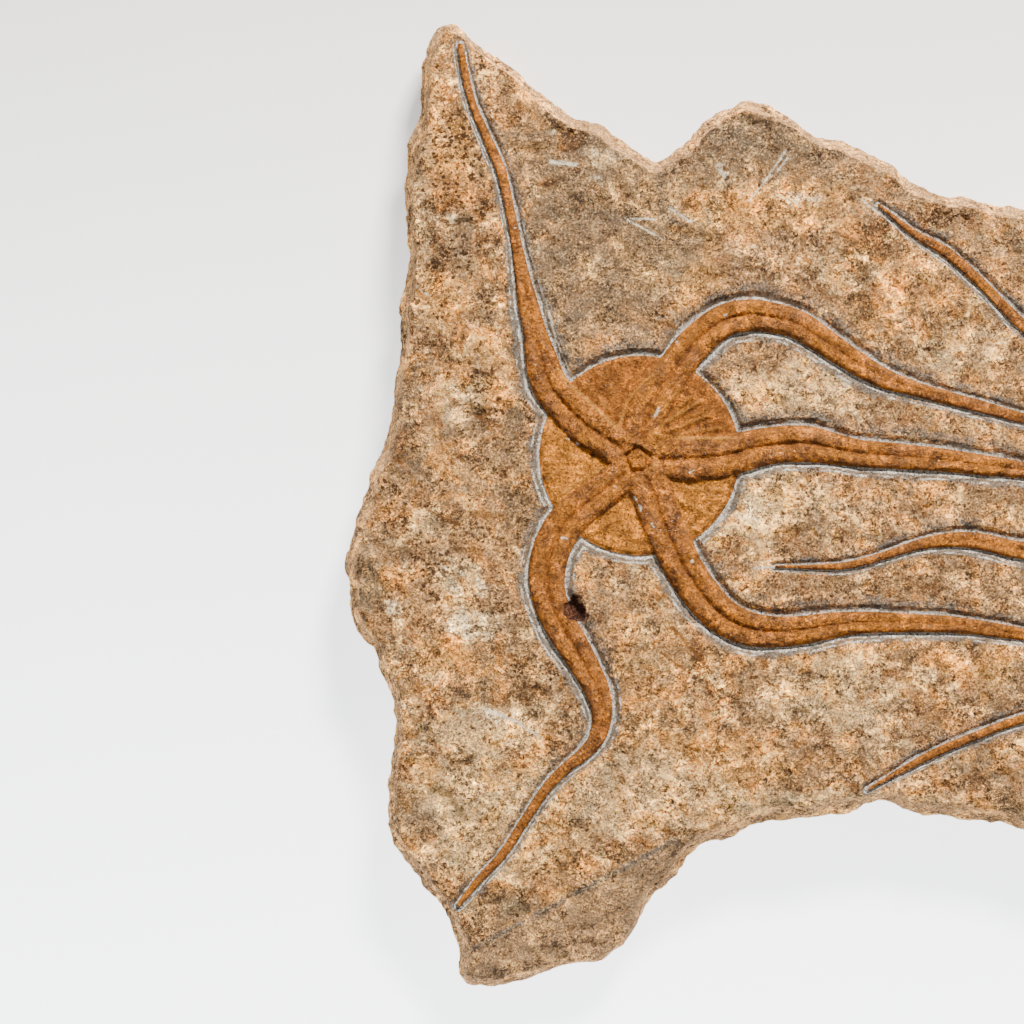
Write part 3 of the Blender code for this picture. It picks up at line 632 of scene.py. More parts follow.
# What a base colour is multiplied by where the grain lightens, darkens, warms or greys it.
LIGHTEN = (2.8, 2.58, 1.97, 1)
DARKEN = (0.31, 0.312, 0.35, 1)
WARMED = (1.12, 0.92, 0.56, 1)
GREYED = (0.84, 0.92, 1.05, 1)
# A brown filling, and in part the painted shade of the pores' hollows.
PORE_BROWN = (0.060, 0.027, 0.013, 1)
PIT_BROWN = (0.045, 0.018, 0.010, 1)
PIT_RED = (0.22, 0.075, 0.035, 1)
# Chalk, also laid partly as painted light where the trench walls face the light.
CHALK = (1.0, 0.95, 0.86, 1)
SCRATCHED = (1.0, 0.92, 0.72, 1)
# The palest grey: grains in the stained band, and a pale dust band that is painted light in part.
SCRIBE_PALE = (0.27, 0.235, 0.195, 1)
SCRIBE_MID = (0.20, 0.175, 0.145, 1)
# The darkest grey: the stained band beside the stars, which is painted shade in part.
SCRIBE_DARK_AND_SHADE = (0.092, 0.076, 0.062, 1)


def marks(f, segments, waver):
    """A mask of fine straight marks, each from x, y to x, y with half its width, in millimetres."""
    flat = f.vector_math("MULTIPLY", f.place, (1, 1, 0))
    mask = None
    for x0, y0, x1, y1, half in segments:
        start = Vector((x0, y0, 0))
        run = Vector((x1, y1, 0)) - start
        gap = f.vector_math("SUBTRACT", flat, start)
        along = f.vector_math("DOT_PRODUCT", gap, run.normalized())
        held = f.math("MAXIMUM", f.math("MINIMUM", along, run.length), 0.0)
        foot = f.node("VectorMath")
        foot.operation = "SCALE"
        foot.inputs[0].default_value = run.normalized()
        f.put(foot.inputs["Scale"], held)
        away = f.vector_math("LENGTH", f.vector_math("SUBTRACT", gap, foot.outputs[0]))
        one = f.between(f.plus(away, waver), half * 1.5, half * 0.4)
        mask = one if mask is None else f.math("MAXIMUM", mask, one)
    return mask


def grained(f, tones, strength):
    """Lightens and darkens the colour where each tone, a noise about 0.5, nears 0.5 + or - its reach.

    The strength, 0 to about 1.4, is how much of the grain shows.
    """
    for tone, reach in tones:
        f.tint(LIGHTEN, f.times(f.ramp(tone, 0.50, 0.50 + reach, 0, 1), strength))
        f.tint(DARKEN, f.times(f.ramp(tone, 0.50, 0.50 - reach, 0, 1), strength))


def rock_zones(f):
    """The zones of colour, warm and grey tints, rusty veins and slanting streaks."""
    f.colour = TAN
    for name, tint, low, high, share in (
        ("peach", PEACH, 0.30, 0.60, 0.85),
        ("grey", GREY_BROWN, 0.30, 0.55, 0.90),
        ("pale", PALE, 0.35, 0.75, 0.85),
        ("rust", RUST_BROWN, 0.40, 0.80, 0.85),
    ):
        f.lay(tint, f.zone(name, f.ragged, low, high), share)
    f.calm = f.zone("grey", f.ragged, 0.20, 0.60)
    lively = f.minus(1.0, f.times(f.calm, 0.7))
    f.tint(WARMED, f.times(f.between(f.warmth, 0.50, 0.60), lively))
    f.tint(GREYED, f.between(f.greying, 0.51, 0.61))
    vein = f.math("ABSOLUTE", f.minus(f.lumps(15.0, 5, 0.62, distortion=1.0), 0.5))
    vein = f.times(f.between(vein, 0.030, 0.006), f.between(f.greying, 0.50, 0.40))
    f.lay(RUST, vein, lively, 0.65)
    f.streaks = f.lumps(4.6, 5, 0.72, distortion=0.7, place=f.turned(-57, 2.2))
    for mask, tint, share in (
        (f.between(f.streaks, 0.52, 0.61), RUSTY, 0.55),
        (f.between(f.streaks, 0.45, 0.37), CREAMY, 0.38),
        (f.between(f.ragged, 0.425, 0.385), RUSTY, 0.50),
        (f.between(f.ragged, 0.590, 0.630), CREAM, 0.55),
    ):
        f.lay(tint, mask, lively, share)


def rock_sides(f):
    """The foot with the grey seam above it, and the bedded, rusty sides."""
    bedded = f.lumps(1.6, 4, 0.7, place=f.turned(28, 7.0))
    f.foot = f.attribute("foot")
    seam = f.times(f.foot, f.minus(1.0, f.foot))
    seam = f.times(seam, f.between(f.mottle, 0.36, 0.52))
    f.lay(FOOT_PEACH, f.foot, 0.80)
    f.lay(SEAM_GREY, seam, 3.8)
    broken = f.plus(f.times(f.foot, 0.35), f.attribute("side"))
    f.lay(SIDE_PEACH, f.attribute("side"), 0.75)
    broken = f.times(broken, f.between(bedded, 0.42, 0.60))
    f.lay(RUST, broken, 0.45)


def rock_grain(f):
    """The grain, with crusts, dark and pale specks, and pores."""
    busy = f.ramp(f.lumps(8.5, 3, 0.65), 0.41, 0.59, 0.42, 1.38)
    busy = f.minus(busy, f.times(f.math("MAXIMUM", f.calm, f.foot), 0.30))
    holed = f.plus(f.attribute("pore"), f.swing(f.mottle, 4.0))
    holed = f.between(holed, 0.05, 0.5)
    f.lay(RUST, holed, 0.16)
    crusted = f.times(f.zone("cream", f.ragged, 0.35, 0.85), f.between(f.gritty, 0.42, 0.52))
    crusted = f.times(crusted, f.between(f.streaks, 0.54, 0.44))
    f.lay(CRUST, crusted, 0.90)
    grained(f, ((f.ragged, 0.42), (f.gritty, 0.11), (f.sugar, 0.20)), busy)
    grained(f, ((f.grain, 0.26),), 0.95)
    specks = f.plus(f.grain, f.times(f.clump, -0.06))
    specks = f.times(f.between(specks, 0.39, 0.34), f.times(busy, 0.60))
    f.lay(DARK_GRAIN, specks)
    f.lay(CREAM, f.between(f.grain, 0.61, 0.66), 0.7)
    f.lay(YELLOW, f.between(f.lumps(1.3, 2, 0.6), 0.74, 0.78), 0.7)
    # Pores, which the mesh does not hollow out: their dark brown is a brown filling and, in part, painted
    # shade of the hollows.
    small = f.between(f.cells(1.9, f.shaken(0.9, 0.40)), 0.35, 0.27)
    large = f.between(f.cells(3.6, f.shaken(1.4, 0.9)), 0.29, 0.23)
    holes = f.times(f.math("MAXIMUM", small, large), holed)
    f.lay(PORE_BROWN, holes, 0.92)


def trench_edges(f):
    """What runs beside the stars: a dark stained band, a grey scribed band and chalky lines; the dark band is
    widened as painted shade where the trench walls face away from the light, and pale dust and chalk are laid
    partly as painted light where they face it.
    """
    f.jitter = f.minus(f.lumps(0.7, 3, 0.8), 0.5)
    slow = f.minus(f.lumps(7.0, 3, 0.6), 0.5)
    facing = f.attribute("facing")
    edge = f.plus(f.attribute("edge"), f.times(f.jitter, 1.9))
    edge = f.plus(edge, f.times(slow, 1.8))
    stain_and_shade = f.plus(edge, f.times(f.jitter, 4.0))
    stain_and_shade = f.plus(stain_and_shade, f.swing(f.mottle, 7.0))
    # Painted shade: the dark band widens on the stars' +Y sides, where the trench walls face away from the
    # light.
    stain_and_shade = f.minus(stain_and_shade, f.times(facing, 1.3))
    stain_and_shade = f.between(stain_and_shade, 3.8, 2.4)
    inked = f.mix(f.between(f.grain, 0.42, 0.58), SCRIBE_DARK_AND_SHADE, SCRIBE_PALE)
    worn = f.ramp(f.gritty, 0.42, 0.54, 0.95, 0.45)
    f.lay(inked, stain_and_shade, worn)
    f.lay(SCRIBE_MID, f.between(edge, 1.7, 1.2), 0.7)
    # Partly painted light: a pale dust band, laid mainly on the stars' -Y sides, where the trench walls face
    # the light.
    dust_and_painted_light = f.plus(edge, f.swing(f.mottle, 6.0))
    dust_and_painted_light = f.times(f.between(dust_and_painted_light, 3.6, 2.4), f.between(f.grain, 0.42, 0.54))
    f.lay(SCRIBE_PALE, dust_and_painted_light, f.between(facing, 0.5, -0.2))
    # Partly painted light: a chalk line along the trench's outer edge, kept off the stars' +Y sides so that
    # it lies where the trench walls face the light.
    line = f.between(f.math("ABSOLUTE", f.minus(edge, 2.5)), 0.36, 0.16)
    line = f.times(line, f.between(slow, -0.03, 0.05))
    line = f.times(line, f.between(facing, 0.4, 0.1))
    f.lay(CHALK, line, f.between(f.grain, 0.36, 0.48))
    # Chalk beside the stars; it reaches a little farther on their -Y sides, where the trench walls face the
    # light, and that lean is painted light.
    near = f.plus(edge, f.times(facing, 0.25))
    reach = f.ramp(f.lumps(8.0, 4, 0.7), 0.36, 0.64, 0.40, 1.50)
    chalky = f.between(f.minus(near, reach), 0.25, -0.10)
    chalky = f.times(chalky, f.between(f.lumps(0.8, 3, 0.9), 0.42, 0.50))
    f.lay(CHALK, chalky, 0.95)


def rock_marks(f):
    """The broken pit, the brown cracks and the pale scratches."""
    torn = f.plus(f.attribute("pit"), f.swing(f.mottle, 7.0))
    inside = f.mix(f.between(f.grain, 0.50, 0.62), PIT_BROWN, PIT_RED)
    inside = f.mix(f.between(f.mottle, 0.60, 0.68), inside, CHALK)
    f.lay(inside, f.between(torn, 0.6, -0.1))
    waver = f.times(f.jitter, 1.8)
    cracks = f.times(marks(f, BROWN_CRACKS, waver), f.between(f.mottle, 0.38, 0.50))
    f.lay(RUST, cracks, 0.9)
    scratch = f.times(marks(f, WHITE_SCRATCHES, waver), f.between(f.gritty, 0.42, 0.49))
    scratch = f.times(scratch, f.between(f.attribute("side"), 0.8, 0.3))
    f.lay(SCRATCHED, scratch, 0.9)


def rock_finish():
    """Gritty tan rock in soft patches of other colours, stained, scribed and chalky beside the stars, where
    painted shade and light follow which way the trench walls face.
    """
    f = Finish("matrix_rock", ROCK_ROUGHNESS)
    f.ragged = f.lumps(7.0, 6, 0.72, distortion=0.5)
    f.mottle = f.lumps(3.4, 5, 0.74)
    f.gritty = f.lumps(9.0, 6, 0.95, distortion=0.15)
    f.grain = f.lumps(0.62, 2, 0.9)
    f.sugar = f.lumps(1.2, 2, 1.0, distortion=0.8)
    f.warmth = f.lumps(9.0, 3, 0.75, distortion=0.8)
    f.greying = f.lumps(8.0, 3, 0.75, distortion=0.8)
    f.clump = f.between(f.lumps(7.0, 4, 0.65), 0.46, 0.60)
    for layer in (rock_zones, rock_sides, rock_grain, trench_edges, rock_marks):
        layer(f)
    return f.done((f.gritty, 9.0), (f.sugar, 2.2))


ORANGE = (0.350, 0.124, 0.016, 1)
DEEP_ORANGE = (0.225, 0.078, 0.013, 1)
GOLD = (0.455, 0.169, 0.016, 1)
AMBER = (0.275, 0.093, 0.012, 1)
WORN = (0.27, 0.135, 0.070, 1)
# A dark brown: painted shade in the grooves, and also the rib joints and dark specks.
GROOVE_BROWN = (0.125, 0.043, 0.009, 1)
# A painted highlight on the crests and on the tops of the skin's folds.
CREST_HIGHLIGHT = (0.78, 0.36, 0.055, 1)
FLECK = (0.88, 0.80, 0.70, 1)


def fossil_finish():
    """Iron-stained stone: orange arms and golden skin, with painted light and shade: the skin brighter gold
    on its lower sectors as if lit, painted shade in brown in the grooves, pale painted highlights on the
    crests and gold ones on parts of the ridge tops.
    """
    f = Finish("fossil_stone", FOSSIL_ROUGHNESS)
    broad = f.lumps(11, 4, 0.6)
    mottle = f.lumps(2.6, 5, 0.74)
    gritty = f.lumps(5.0, 5, 0.92, distortion=0.3)
    sugar = f.lumps(0.85, 2, 1.0, distortion=0.4)
    f.colour = f.mix(f.between(f.lumps(4.5, 5, 0.72), 0.36, 0.60), DEEP_ORANGE, ORANGE)
    # Painted light: the skin is brighter gold on its lower sectors, as if lit, and darker amber on its upper
    # ones.
    skin = f.mix(f.attribute("lower"), AMBER, GOLD)
    skin = f.mix(f.times(f.between(mottle, 0.52, 0.38), 0.28), skin, DEEP_ORANGE)
    f.lay(skin, f.attribute("skin"))
    worn = f.times(f.attribute("worn"), f.between(broad, 0.38, 0.52))
    worn = f.times(worn, f.between(mottle, 0.44, 0.56))
    f.lay(WORN, worn, 0.30)
    # Painted highlight: parts of the ridge tops painted a lighter gold.
    gold_highlight = f.times(f.attribute("worn"), f.between(broad, 0.54, 0.44))
    f.lay(GOLD, gold_highlight, 0.40)
    ribs = f.times(f.attribute("ribs"), f.between(mottle, 0.44, 0.58))
    f.lay(GROOVE_BROWN, ribs, 0.35)
    busy = f.ramp(f.lumps(6.0, 3, 0.6), 0.40, 0.60, 0.6, 1.2)
    grained(f, ((gritty, 0.15), (sugar, 0.30)), busy)
    f.lay(GROOVE_BROWN, f.between(sugar, 0.40, 0.34), 0.45)
    # Painted shade: dark brown in the arms' middle grooves, in the moat round the hub and along the arms'
    # feet on the disc.
    f.lay(GROOVE_BROWN, f.attribute("groove_shade"), 0.24)
    # Painted highlight: light golden orange along the crests and, more faintly, along the tops of the skin's
    # folds.
    crest_highlight_mask = f.times(f.attribute("crest_highlight"), f.between(gritty, 0.38, 0.50))
    f.lay(CREST_HIGHLIGHT, crest_highlight_mask, 0.60)
    specks = f.times(f.between(f.lumps(0.7, 2, 0.5), 0.67, 0.73), f.between(broad, 0.46, 0.58))
    f.lay(FLECK, specks, 0.55)
    waver = f.swing(f.lumps(0.9, 3, 0.78), 2.4)
    f.lay(FLECK, marks(f, FLECKS, waver), 0.85)
    torn = f.plus(f.attribute("pit"), f.swing(mottle, 2.0))
    inside = f.mix(f.between(sugar, 0.44, 0.60), PIT_BROWN, PIT_RED)
    f.lay(inside, f.between(torn, 0.25, 0.60))
    return f.done((gritty, 3.6), (sugar, 1.3), (f.minus(1.0, f.attribute("ribs")), 0.15))


FLOOR_GREY = (0.780, 0.815, 0.855, 1)
FLOOR_WHITE = (0.815, 0.845, 0.880, 1)
FLOOR_GLOW = (4.7, 0.1)  # the floor glows, most at its -Y end and least at its +Y end
GLOW_REACH = 160  # the glow changes between this far on either side of the middle


def floor_finish():
    """A pale, faintly cloudy sheet with a glow of its own."""
    f = Finish("pale_floor", FLOOR_ROUGHNESS)
    cloudy = f.between(f.lumps(240, 3, 0.5), 0.3, 0.7)
    f.colour = f.mix(cloudy, FLOOR_GREY, FLOOR_WHITE)
    f.put(f.shader.inputs["Emission Color"], f.colour)
    split = f.node("SeparateXYZ", Vector=f.place)
    glow = f.ramp(split.outputs["Y"], -GLOW_REACH, GLOW_REACH, *FLOOR_GLOW)
    f.put(f.shader.inputs["Emission Strength"], glow)
    return f.done()


# ---- the slab ----


def make_slab():
    """The rock: the frame's slab with its trenches closed, made into fine cells, then carved and broken."""
    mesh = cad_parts["matrix_slab"].data.copy()
    mesh.materials.clear()
    slab = bpy.data.objects.new("rock_slab", mesh)
    bpy.context.scene.collection.objects.link(slab)
    work_on(slab)
    bpy.ops.object.mode_set(mode="EDIT")
    bpy.ops.mesh.select_all(action="SELECT")
    bpy.ops.mesh.remove_doubles(threshold=0.00001)
    bpy.ops.object.mode_set(mode="OBJECT")
    places = vertex_places(mesh)
    floor = np.abs(places[:, 2] - POCKET_FLOOR) < 0.02
    places[floor, 2] = surface_height(places[floor, :2])
    place_vertices(mesh, places)
    voxel_remesh(slab, SLAB_VOXEL)
    cut_flat(slab, SLAB_CUT)
    divide_underside(slab)
    level_top(slab.data)
    refine(slab)
    carve(slab.data)
    return slab


def divide_underside(slab):
    """Makes the cut underside one face, then divides it into square cells."""
    low = (rows(slab.data.polygons, "normal")[:, 2] < -0.99) & (face_centres(slab.data)[:, 2] < 0.5)
    select_faces(slab, low)
    bpy.ops.mesh.dissolve_faces()
    bpy.ops.mesh.hide(unselected=True)
    for across, reach in zip(((1, 0, 0), (0, 1, 0)), SLAB_REACH):
        for step in range(-reach, reach + 1, UNDERSIDE_CELL):
            bpy.ops.mesh.select_all(action="SELECT")
            bpy.ops.mesh.bisect(plane_co=Vector(across) * step * MM, plane_no=across, threshold=1e-6)
    bpy.ops.mesh.reveal(select=False)
    bpy.ops.object.mode_set(mode="OBJECT")


def level_top(mesh):
    """Puts the bedding surface's vertices on its smooth form, and the underside on the ground."""
    places = vertex_places(mesh)
    normals = rows(mesh.vertex_normals, "vector")
    height = surface_height(places[:, :2])
    flatness = smooth_step(0.30, 0.72, normals[:, 2]) * smooth_step(6.0, 2.5, height - places[:, 2])
    places[:, 2] += (height - places[:, 2]) * flatness
    places[places[:, 2] < 0.45, 2] = 0.0
    place_vertices(mesh, places)


def both_distances(xy):
    """Distance outside the nearer star's edge, and the arm's width there."""
    main, main_width = star_distance(xy, MAIN_CENTRE, MAIN_ROUTES)
    second, second_width = star_distance(xy, SECOND_CENTRE, SECOND_ROUTES)
    nearer = main < second
    return np.where(nearer, main, second), np.where(nearer, main_width, second_width)


def pit_distance(xy):
    """Distance outside the broken pit beside the lower left arm."""
    gap = (xy - np.array(PIT[:2])) @ np.array(((0.8, 0.6), (0.6, -0.8)))
    return np.hypot(gap[:, 0], gap[:, 1] * 0.8) - PIT[2] + 1.3 * wander(xy, 3.6, 3, 19)


def divide_faces(piece, chosen):
    """Divides each chosen face into four."""
    select_faces(piece, chosen)
    bpy.ops.mesh.subdivide(number_cuts=1, smoothness=0.0, ngon=False)
    bpy.ops.object.mode_set(mode="OBJECT")


def refine(slab):
    """Divides the faces of the fossils' half once, and those along the trenches down to half a cell."""
    centres = face_centres(slab.data)
    low = rows(slab.data.polygons, "normal")[:, 2] < -0.9
    distance, _ = both_distances(centres[:, :2])
    chosen = ((centres[:, 0] < SHOWN_EDGE) & (distance > -1.5)) | (np.abs(distance - 1.0) < 2.4)
    divide_faces(slab, chosen & ~low)
    centres = face_centres(slab.data)
    up = rows(slab.data.polygons, "normal")[:, 2] > 0.7
    distance, _ = both_distances(centres[:, :2])
    chosen = (centres[:, 0] < SHOWN_EDGE) & (distance > -0.6) & (distance < 2.7) & up
    divide_faces(slab, chosen)


def bedding_relief(places, grey, distance):
    """The bedding surface's roughness, with pits, sunken grey patches and calmer rock beside the stars."""
    relief = 0.65 * wander(places, 14, 4, 1) + 0.55 * wander(places, 5.0, 3, 2)
    pits = wander(places, 2.6, 3, 3)
    relief += 0.30 * pits
    relief -= 0.9 * smooth_step(0.15, 0.6, pits) * smooth_step(-0.2, 0.4, wander(places, 17, 2, 4))
    relief -= 0.9 * smooth_step(0.40, 0.58, grey + 0.30 * wander(places, 7, 4, 16))
    return RELIEF * relief * (0.2 + 0.8 * smooth_step(0.0, 5.0, distance))


def side_breaks(places, normals):
    """How far the broken sides stand out, in lumps and in flat-lying strata."""
    strata = wander(places * np.array((1, 1, 7.0)), 24, 4, 7)
    broken = 0.6 * wander(places, 11, 3, 8) + 0.75 * wander(places, 4, 3, 10) + 0.9 * strata
    foot = smooth_step(-4.0, 6.0, beyond_foot(places[:, :2]))
    broken += 0.3 + 1.3 * np.clip(normals[:, 1], 0, 1) + FOOT_PUSH * foot * np.clip(-normals[:, 1], 0, 1)
    return broken


def rise_along_y(xy):
    """How fast the distance from the stars grows towards +Y, from -1 to 1."""
    step = np.array((0, 0.05))
    ahead, behind = (both_distances(xy + shift)[0] for shift in (step, -step))
    return np.clip((ahead - behind) / (2 * step[1]), -1, 1)


def carve(mesh):
    """Breaks the rock's surface, cuts the trenches and stores what the finish reads."""
    places = vertex_places(mesh)
    normals = rows(mesh.vertex_normals, "vector")
    xy = places[:, :2]
    base = surface_height(xy)
    upness = smooth_step(base - 9.0, base - 1.5, places[:, 2])
    grounded = smooth_step(0.2, 2.5, places[:, 2])
    distance, width = both_distances(xy)
    slimness = 0.42 + 0.58 * np.clip((width - 1.0) / 6.0, 0, 1)
    scaled = distance / slimness

    grey = patches(xy, GREY_PATCHES)
    relief = bedding_relief(places, grey, distance)
    away_y = rise_along_y(xy)
    wall = (TRENCH_WALL + TRENCH_LEAN * away_y) * slimness
    rough = distance + 0.30 * wander(places, 2.0, 2, 5) * smooth_step(0.4, 1.0, distance)
    cut = 1 - smooth_step(0.35, 0.35 + wall, rough)
    ditch = DITCH_DEPTH * slimness * smooth_step(0.5, 0.0, np.abs(scaled - 1.75))
    hollow = PIT_DEPTH * smooth_step(0.6, -1.2, pit_distance(xy))
    sunk = np.maximum(trench_depth(width) * cut, hollow)

    sideways = normals * ((1 - upness) * grounded * side_breaks(places, normals))[:, None]
    sideways[:, 2] *= 0.4
    places = places + sideways
    places[:, 2] += upness * (relief - ditch - sunk)
    hollows = 0.35 + 0.7 * wander(places, 30, 3, 17) + 0.35 * wander(places, 12, 2, 18)
    hollows = np.clip(hollows, 0, UNDERSIDE_HOLLOW)
    places[:, 2] = np.where(places[:, 2] < 0.3, hollows, places[:, 2])
    place_vertices(mesh, places)
    below = places[:, 2] < LOW_BAND
    add_attribute(mesh, "edge", np.where(below, 12, np.clip(scaled, -3, 12)))
    add_attribute(mesh, "pit", np.where(below, 5, np.clip(pit_distance(xy), -5, 5)))
    for name, spots in PATCHES.items():
        add_attribute(mesh, name, patches(xy, spots))
    add_attribute(mesh, "grey", grey)
    # facing is +1 on the stars' +Y sides, whose trench walls face away from the light, and -1 on their -Y
    # sides; the finish paints shade and light beside the stars by it.
    add_attribute(mesh, "facing", away_y)
    add_attribute(mesh, "foot", smooth_step(-1.3, 1.6, beyond_foot(xy)))
    add_attribute(mesh, "side", smooth_step(0.75, 0.35, normals[:, 2]))


# ---- the stars ----


def swept_arm(name, route):
    """A tube along an arm's middle line, as wide as the arm, made a mesh."""
    work_tube = bpy.data.curves.new(name, "CURVE")
    work_tube.dimensions = "3D"
    work_tube.bevel_depth = MM / 2
    work_tube.bevel_resolution = 4
    work_tube.use_fill_caps = True
    spline = work_tube.splines.new("POLY")
    spline.points.add(len(route.points) - 1)
    for point, place, width in zip(spline.points, route.points, route.width):
        point.co = (place[0] * MM, place[1] * MM, 0, 1)
        point.radius = width
    tube = bpy.data.objects.new(name, work_tube)
    bpy.context.scene.collection.objects.link(tube)
    work_on(tube)
    bpy.ops.object.convert(target="MESH")
    return bpy.context.object


def ridge_section(across):
    """An arm's section from its middle, 0, to its edge, 1: a V groove, a round ridge, a steep shoulder."""
    groove = 0.20 * smooth_step(0.20, 0.0, across)
    inner = 0.40 * (np.clip(0.53 - across, 0, 1) / 0.53) ** 2.1
    outer = 0.78 * (np.clip(across - 0.50, 0, 1) / 0.50) ** 2.2
    shoulder = smooth_step(0.92, 1.06, across)
    return np.clip(1 - groove - inner - outer, 0, 1) * (1 - shoulder)


def fold_lines(xy, folds):
    """Low rounded folds along straight lines: x, y, end x, y, half width, height."""
    rise = np.zeros(len(xy))
    for x0, y0, x1, y1, half, height in folds:
        run = np.array((x1 - x0, y1 - y0))
        gap = xy - np.array((x0, y0))
        t = gap @ run / (run @ run)
        away = np.abs(gap[:, 0] * run[1] - gap[:, 1] * run[0]) / math.hypot(*run)
        ends = smooth_step(-0.08, 0.12, t) * smooth_step(1.08, 0.88, t)
        rise = np.maximum(rise, height * ends * np.exp(-((away / half) ** 2)))
    return rise


def arm_height(number, place, off, half, width):
    """An arm's height above its trench floor, from the place along it and the distance off its middle."""
    across = np.abs(off) / half
    full = fullness(width)
    top = TIP_RIDGE_HEIGHT + (RIDGE_HEIGHT - TIP_RIDGE_HEIGHT) * full
    slim = smooth_step(5.5, 3.5, width)
    section = ridge_section(np.clip(across, 0, 1.04))
    section = section * (1 - slim) + np.clip(1 - across**2.4, 0, 1) ** 0.5 * slim
    fill = 0.30 * smooth_step(11.5, 6.0, width) * (1 - slim)
    section = section + fill * smooth_step(0.27, 0.0, across)
    near = across < 1.3
    lumps = np.zeros(len(place))
    lengthways = np.column_stack([place / 7.0, off / 1.9 + 31 * number])
    lumps[near] = wander(lengthways[near], 1.0, 3, 15)
    section = section * (1 + 0.10 * lumps)
    floor = EDGE_HEIGHT * (0.5 + 0.5 * full)
    return np.where(across < 1.06, floor + (top - floor) * section, 0)


def skin_height(xy, from_mouth, angle, outside):
    """The disc's skin between the arms: dished, fanned out in wrinkles, and sunken along the arms."""
    fan = 0.5 + 0.5 * wander(np.column_stack([angle * 9, from_mouth / 14]), 1.0, 3, 11)
    dish = 0.35 * smooth_step(10, 30, from_mouth)
    gutter = np.exp(-((np.maximum(outside, 0) / 0.9) ** 2))
    skin = SKIN_HEIGHT + dish + 0.45 * (fan - 0.5) + 0.12 * wander(xy, 3, 3, 12) - 0.16 * gutter
    return skin + fold_lines(xy, FOLDS)


def crest_lines(xy):
    """Where the raised crests run, with their painted highlights, 0 to 1."""
    return fold_lines(xy, [(*line, 1.0) for line in CRESTS])


def star_relief(xy, centre, mouth, routes):
    """A star's height above its trench floor, and the fields that its finish reads."""
    count = len(xy)
    from_centre = np.hypot(xy[:, 0] - centre[0], xy[:, 1] - centre[1])
    gap = xy - np.array(mouth)
    from_mouth = np.hypot(gap[:, 0], gap[:, 1])
    angle = np.arctan2(gap[:, 1], gap[:, 0])

    melt = 6.0  # the higher, the less the arms melt together where they meet
    arms = np.zeros(count)
    soft = np.zeros(count)
    across = np.ones(count)
    along = np.zeros(count)
    outside = np.full(count, 9.0)
    width_here = np.full(count, FULL_WIDTH)
    for number, route in enumerate(routes):
        off, place, width = route.beside(xy)
        half = half_width(number, place, width, np.sign(off))
        half = half * (1 + 0.05 * smooth_step(31, 25, from_centre))
        height = arm_height(number, place, off, half, width)
        taller = height > arms
        across = np.where(taller, np.clip(off / half, -1, 1), across)
        along = np.where(taller, place, along)
        width_here = np.where(taller, width, width_here)
        arms = np.maximum(arms, height)
        outside = np.minimum(outside, np.abs(off) - 0.94 * half)
        soft = soft + np.exp(np.clip(height, 0, 5) * melt)

    jaws = np.log(soft) / melt - 0.08
    by_mouth = smooth_step(12.0, 7.5, from_mouth)
    arms = arms * (1 - by_mouth) + np.minimum(jaws, RIDGE_HEIGHT + 0.1) * by_mouth

    in_disc = smooth_step(DISC_RADIUS + 0.4, DISC_RADIUS - 1.4, from_centre)
    skin = skin_height(xy, from_mouth, angle, outside) * in_disc
    blend = 0.25  # how much an arm's foot and the skin run together
    height = 0.5 * (arms + skin + np.sqrt((arms - skin) ** 2 + blend**2)) - 0.06
    height = np.where(from_centre < DISC_RADIUS + 0.5, height, arms)

    pentagon = from_mouth * (1 + 0.10 * np.cos(5 * (angle - HUB_TURN)))
    hub = smooth_step(HUB_RADIUS + 0.5, HUB_RADIUS - 0.5, pentagon)
    moat = smooth_step(1.1, 0.2, np.abs(pentagon - MOAT_RADIUS + 0.3))
    hub_top = RIDGE_HEIGHT - 0.20 - 0.35 * smooth_step(1.6, 0.3, pentagon)
    height = height * (1 - hub) + hub_top * hub
    height = np.minimum(height, height * (1 - moat) + (RIDGE_HEIGHT - 1.5) * moat)
    height = height + 0.35 * crest_lines(xy)
    rough = 0.34 * wander(xy, 4.5, 3, 13) + 0.22 * wander(xy, 1.5, 2, 14)
    height = height + rough * (0.4 + 0.6 * fullness(width_here))

    on_arm = smooth_step(-0.1, 0.4, arms - skin)
    # Painted shade, for the finish: the arms' middle grooves, the hub's moat and the arms' feet on the disc.
    groove_shade = smooth_step(0.15, 0.03, np.abs(across)) * on_arm * smooth_step(6.0, 9.0, width_here)
    groove_shade = np.maximum(groove_shade * (1 - by_mouth * 0.4) * (1 - hub), 0.8 * moat)
    foot = smooth_step(1.0, 0.2, np.abs(outside - 0.1)) * in_disc
    # The ridge tops and the hub: the finish wears them in places and paints other places gold as a highlight.
    worn = smooth_step(0.45, 0.2, np.abs(np.abs(across) - 0.5)) * on_arm
    worn = np.maximum(worn, hub)
    ribs = (0.5 + 0.5 * np.cos(along * 2 * np.pi / RIB_SPACING)) * on_arm * smooth_step(9, 5, width_here)
    # lower marks the skin's lower sectors, which the finish paints brighter gold, as if lit.
    fields = {
        "skin": (1 - on_arm) * in_disc, "groove_shade": np.maximum(groove_shade, 0.5 * foot), "worn": worn,
        "ribs": ribs, "lower": 1 - smooth_step(0.0, 0.2, angle) * smooth_step(2.55, 2.3, angle),
    }
    return height, width_here, fields


